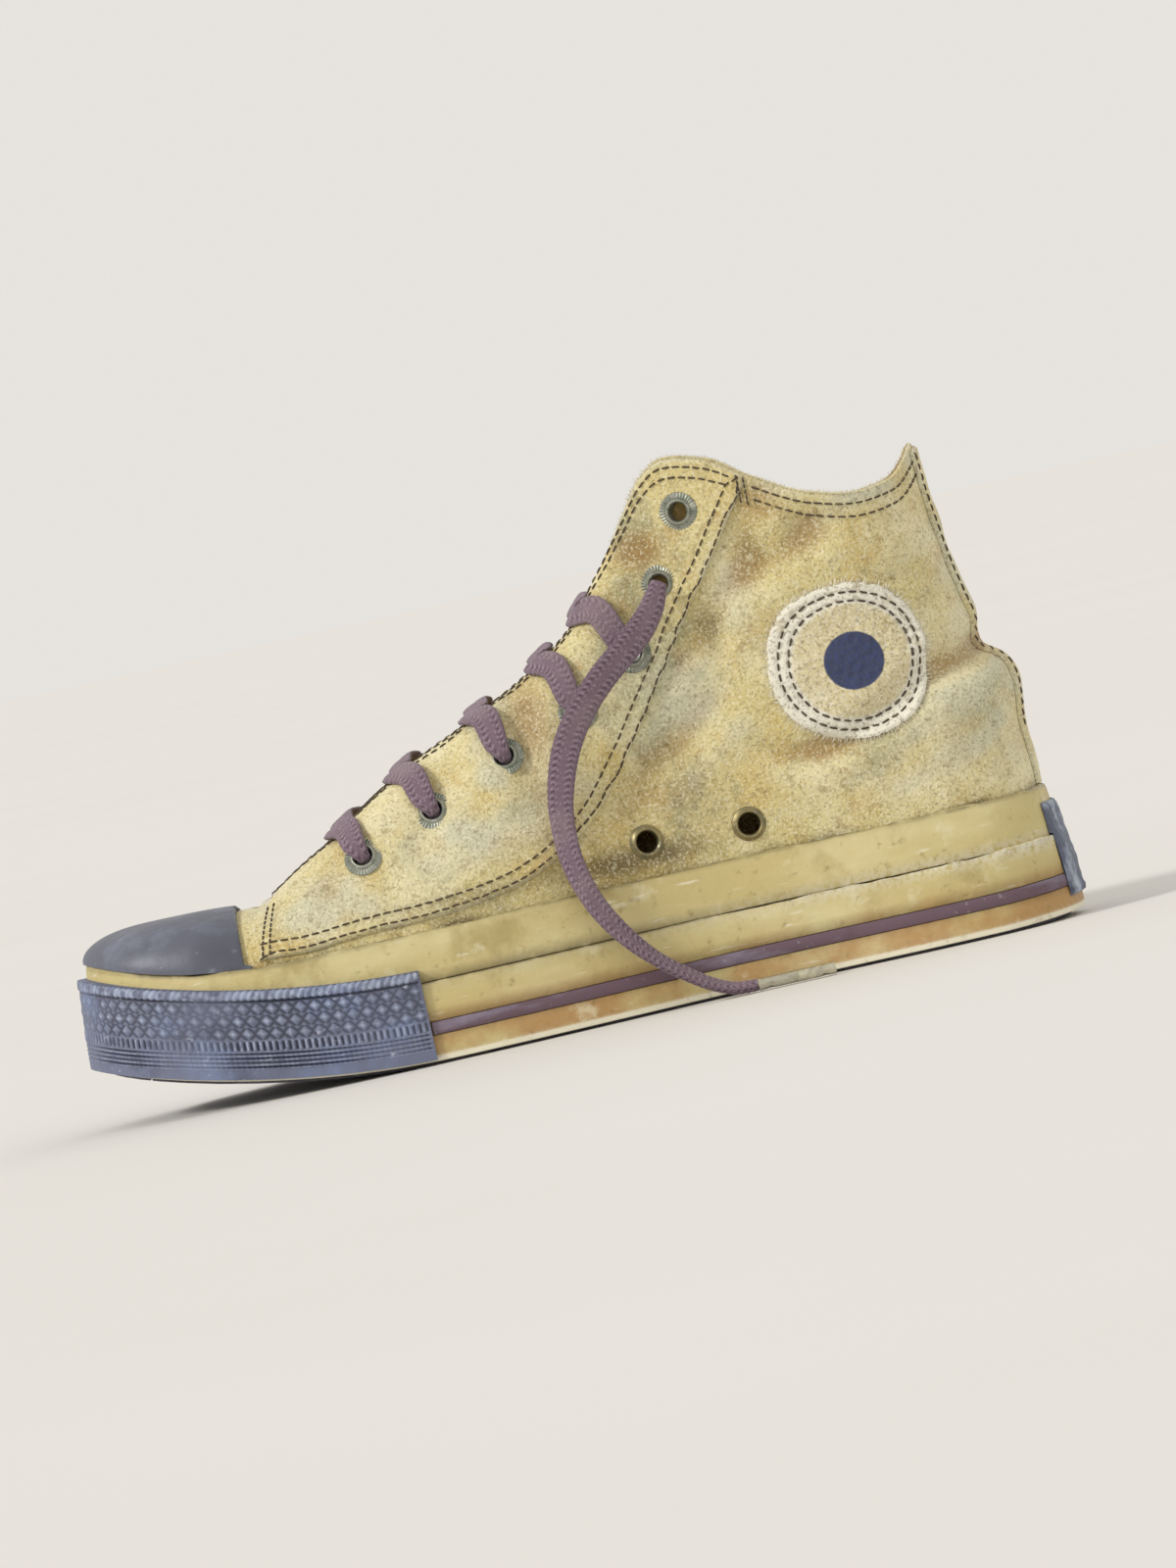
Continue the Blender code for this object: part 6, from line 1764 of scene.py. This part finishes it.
def makePatch():
    draw = np.random.default_rng(8)
    angles = np.linspace(0, 2 * math.pi, patch["sides"], endpoint=False)
    ragged = patch["radius"] * (1 + 0.006 * np.sin(5 * angles + 1) + 0.004 * np.sin(13 * angles) + draw.normal(0, 0.0035, len(angles)))
    shares = np.linspace(0.02, 1, patch["rings"])
    radii = shares[:, None] * ragged[None, :]
    angleGrid = np.broadcast_to(angles, radii.shape)
    dent = sum(0.35 * mm * np.exp(-((radii - ringRadius) / (0.55 * mm)) ** 2) for ringRadius in patch["stitchRings"])
    fluff = 0.12 * mm * softNoise(patchPoint(radii, angleGrid, 0)[0], 2.4 * mm, 71)
    thickness = patch["top"] - 0.8 * mm * smoothStep(0.96, 1.0, shares)[:, None] - dent + fluff
    outer, _ = patchPoint(radii, angleGrid, thickness)
    inner, _ = patchPoint(radii, angleGrid, patch["bottom"] + 0 * radii)
    points = np.concatenate([outer.reshape(-1, 3), inner.reshape(-1, 3)])
    half = radii.size
    rows, columns = radii.shape
    faces = gridFaces(rows, columns, closedColumns=True)
    faces += [tuple(half + v for v in reversed(f)) for f in gridFaces(rows, columns, closedColumns=True)]
    last = (rows - 1) * columns
    for c in range(columns):
        n = (c + 1) % columns
        faces.append((last + c, last + n, half + last + n, half + last + c))
    faces.append(tuple(range(columns))[::-1])
    faces.append(tuple(half + c for c in range(columns)))
    field = smoothStep(patch["stitchRings"][1], patch["stitchRings"][1] - 2 * mm, radii)
    disc = smoothStep(patch["disc"] + 0.3 * mm, patch["disc"] - 0.3 * mm, radii)
    values = {
        "field": np.concatenate([field.ravel(), field.ravel()]),
        "disc": np.concatenate([disc.ravel(), 0 * disc.ravel()]),
    }
    piece = makePiece("anklePatch", points, faces, patchCanvas, 60, values)
    finishPiece(piece, "patch_canvas", "ankle_patch")
    # frayed rim: short canvas fibres that lie outwards
    rim, out = patchPoint(ragged * 0.985, angles, patch["top"] - 0.9 * mm)
    closedRim, closedOut = np.vstack([rim, rim[:1]]), np.vstack([out, out[:1]])
    fibre = helperObject("fibre", [
        (-0.14 * mm, -0.2 * mm, 0), (0.14 * mm, -0.2 * mm, 0), (0, -0.2 * mm, 0.28 * mm),
        (0.1 * mm, 1.3 * mm, 0.0), (0.25 * mm, 1.3 * mm, 0.05 * mm), (0.16 * mm, 1.25 * mm, 0.16 * mm), (0.5 * mm, 2.1 * mm, -0.1 * mm),
    ], [(0, 1, 2), (0, 3, 4, 1), (1, 4, 5, 2), (2, 5, 3, 0), (3, 6, 4), (4, 6, 5), (5, 6, 3)])
    fray = repeatAlong("patchFray", [(closedRim[::-1], closedOut[::-1])], fibre, patchCanvas, 0.42 * mm, 0.45, 0.5, 12)
    finishPiece(fray, "patch_canvas")


makePatch()
print("patch made")


# Stitching

stitching = {"length": 2.55 * mm, "pitch": 3.1 * mm, "radius": 0.27 * mm}


def surfacePath(sides, places, shares, lift, step=1.5 * mm):
    points, normals = worn(sides, places, shares, lift)
    length = np.linalg.norm(np.diff(points, axis=0), axis=1).sum()
    count = max(4, int(length / step))
    both = resample(np.concatenate([points, normals], 1), count)
    return both[:, :3], unit(both[:, 3:])


def shareBelowEdge(sides, places, distance):  # height share a given distance down from the top edge
    probe = np.linspace(1.0, 0.6, 120)
    walls = lastPoint(sides[:, None], places[:, None], probe[None, :])
    walked = np.concatenate([np.zeros((len(places), 1)), np.cumsum(np.linalg.norm(np.diff(walls, axis=1), axis=2), axis=1)], 1)
    return np.array([np.interp(distance, walked[k], probe) for k in range(len(places))])


def makeStitches():
    top = eyestay["top"]
    paths = []
    for side in (-1, 1):
        # collar, from the eyestay to the backstay
        places = np.linspace(0.03, 0.275, 160)
        sides = np.full(places.shape, float(side))
        for down in (2.6 * mm, 6.4 * mm):
            paths.append(surfacePath(sides, places, shareBelowEdge(sides, places, down), 0.12 * mm))
        # throat edge on the eyestay
        places = np.linspace(0.30, 0.785, 300)
        sides = np.full(places.shape, float(side))
        for down in (2.2 * mm, 5.4 * mm):
            start = 0 if down < 3 * mm else 3
            paths.append(surfacePath(sides[start:], places[start:], shareBelowEdge(sides, places, down)[start:], top + 0.02 * mm))
        # lower edge of the eyestay, two rows
        places = np.linspace(0.292, 0.78, 300)
        sides = np.full(places.shape, float(side))
        low = pchip(eyestayEdge, places)
        walls = lastPoint(sides[:, None], places[:, None], low[:, None] + np.linspace(0, 0.35, 120)[None, :])
        lowLine = lastPoint(sides, places, low)
        for inside in (1.6 * mm, 4.6 * mm):
            shares = []
            for k in range(len(places)):
                # distance from the whole lower edge, not only straight up from it
                away = np.min(np.linalg.norm(walls[k][:, None, :] - lowLine[None, ::4, :], axis=2), axis=1)
                shares.append(low[k] + np.interp(inside, np.maximum.accumulate(away), np.linspace(0, 0.35, 120)))
            shares = np.array(shares)
            keep = shares < 0.99
            paths.append(surfacePath(sides[keep], places[keep], shares[keep], top + 0.02 * mm))
        # backstay, one row on each side
        shares = np.linspace(0.36, 0.985, 60)
        paths.append(surfacePath(np.full(60, float(side)), np.full(60, 0.0185), shares, backstay["top"] + 0.02 * mm))
    stitch = threadStitch(stitching["length"], stitching["radius"])
    piece = repeatAlong("seamStitches", paths, stitch, thread, stitching["pitch"], 0.10, 0.07, 3)
    finishPiece(piece, "suede")
    # broken nap along the cut edge of the collar and the throat
    nap = helperObject("napFibre", [
        (-0.10 * mm, -0.1 * mm, -0.1 * mm), (0.10 * mm, -0.1 * mm, -0.1 * mm), (0, -0.1 * mm, 0.12 * mm), (0.3 * mm, 1.25 * mm, 0.25 * mm),
    ], [(0, 1, 2), (0, 3, 1), (1, 3, 2), (2, 3, 0)])
    edges = []
    for side in (-1, 1):
        places = np.linspace(0.01, 0.84, 440)[::side]
        for out in (0.1 * mm, -1.9 * mm):
            line, normal = worn(side, places, 0.998, out)
            edges.append((line + np.array([0, 0, 0.7 * mm]), normal))
    piece = repeatAlong("edgeNap", edges, nap, suede, 0.55 * mm, 0.5, 0.6, 5)
    finishPiece(piece, "suede")
    # short bars that lock the rows: across the collar's rows and at the eyestay's toe end
    locks = []
    for side in (-1, 1):
        sides = np.full(12, float(side))
        for place in (0.2845, 0.2905):
            places = np.full(12, place)
            start, end = (shareBelowEdge(sides, places, down)[0] for down in (1.2 * mm, 8.0 * mm))
            shares = np.linspace(start, end, 12)
            locks.append(surfacePath(sides, places, shares, top + 0.1 * mm, 0.8 * mm))
        for place in (0.774, 0.781):
            lowest = float(pchip(eyestayEdge, place))
            shares = np.linspace(lowest + 0.03, lowest + 0.34, 12)
            locks.append(surfacePath(sides, np.full(12, place), shares, top + 0.02 * mm, 0.8 * mm))
    stitch = threadStitch(1.5 * mm, stitching["radius"])
    piece = repeatAlong("lockStitches", locks, stitch, thread, 1.6 * mm, 0.15, 0.12, 6)
    finishPiece(piece, "suede")
    angles = np.linspace(0, 2 * math.pi, 160)
    rings = [patchPoint(np.full(angles.shape, radius), angles, patch["top"] - 0.32 * mm) for radius in patch["stitchRings"]]
    stitch = threadStitch(2.5 * mm, 0.30 * mm)
    piece = repeatAlong("patchStitches", rings, stitch, thread, 3.2 * mm, 0.12, 0.12, 4)
    finishPiece(piece, "patch_canvas")


makeStitches()
print("stitches made")


# Tongue, insole and outsole

tongue = {"top": 0.338, "front": 0.83, "wing": 0.8, "topFlare": 0.07, "sink": 1.6 * mm, "clearance": 1.5 * mm, "thickness": 2.6 * mm}


def makeTongue():
    depth = -(shoe["wall"] + tongue["clearance"])
    places = np.linspace(tongue["top"], tongue["front"], 120)
    strips = []
    for u in places:
        # wider near its top, where it stands behind the second pair of eyelets
        wing = tongue["wing"] - tongue["topFlare"] * (1 - float(smoothStep(0.42, 0.52, u)))
        wingShares = np.linspace(wing, 1.0, 7)
        sink = tongue["sink"] * (wingShares - wing) / (1 - wing)
        wings = {}
        for side in (-1, 1):
            wings[side] = lastPoint(side, u, wingShares) + lastNormal(side, u, wingShares) * (depth - sink)[:, None]
        medial, lateral = wings[-1][-1], wings[1][-1]
        out = unit(lastNormal(-1, u, 1.0) + lastNormal(1, u, 1.0))
        rounding = float(smoothStep(0.33, 0.42, u)) * (1 - float(smoothStep(0.70, 0.80, u)))
        arch = 0.10 * np.linalg.norm(lateral - medial) * rounding
        middle = [medial * (1 - k) + lateral * k + out * 4 * k * (1 - k) * arch for k in np.linspace(0, 1, 14)[1:-1]]
        strips.append(np.vstack([wings[-1], middle, wings[1][::-1]]))
    front = strips[-1]
    for step, narrow, drop in ((8 * mm, 0.9, 1.2 * mm), (16 * mm, 0.78, 2.4 * mm)):
        moved = front.copy()
        mean = front[:, 1].mean()
        moved[:, 0] -= step
        moved[:, 1] = mean + (moved[:, 1] - mean) * narrow
        moved[:, 2] -= drop
        strips.append(moved)
    grid = np.array(strips)
    across = np.gradient(grid, axis=1)
    forward = np.gradient(grid, axis=0)
    normal = unit(np.cross(across, forward))
    if (normal @ np.array([-0.6, 0.0, 0.8])).sum() < 0:
        normal = -normal
    ripple = 0.5 * mm * softNoise(grid, 22 * mm, 81) + 0.2 * mm * softNoise(grid, 7 * mm, 82)
    ends = np.minimum(np.arange(len(grid)) / 5.0, 1)[:, None]
    cols = np.arange(grid.shape[1])
    sideEnds = np.minimum(np.minimum(cols, cols[::-1]) / 2.0, 1)[None, :]
    puffed = np.sqrt(np.clip(ends * sideEnds, 0.05, 1))
    half = tongue["thickness"] / 2
    middleLayer = grid - normal * half
    outer = middleLayer + normal * (half * puffed + 0.5 * ripple - 0.3 * mm)[..., None]
    inner = middleLayer - normal * (half * puffed - 0.3 * mm)[..., None]
    rows, columns = grid.shape[:2]
    points = np.concatenate([outer.reshape(-1, 3), inner.reshape(-1, 3)])
    piece = makePiece("tonguePad", points, sheetFaces(rows, columns), tongueSuede, 60)
    finishPiece(piece, "tongue_suede", "tongue")


makeTongue()
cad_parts["insole"].data.materials.clear()
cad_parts["insole"].data.materials.append(insoleCloth)
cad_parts["outsole"].data.materials.clear()
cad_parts["outsole"].data.materials.append(outsoleRubber)
print("tongue, insole and outsole made")
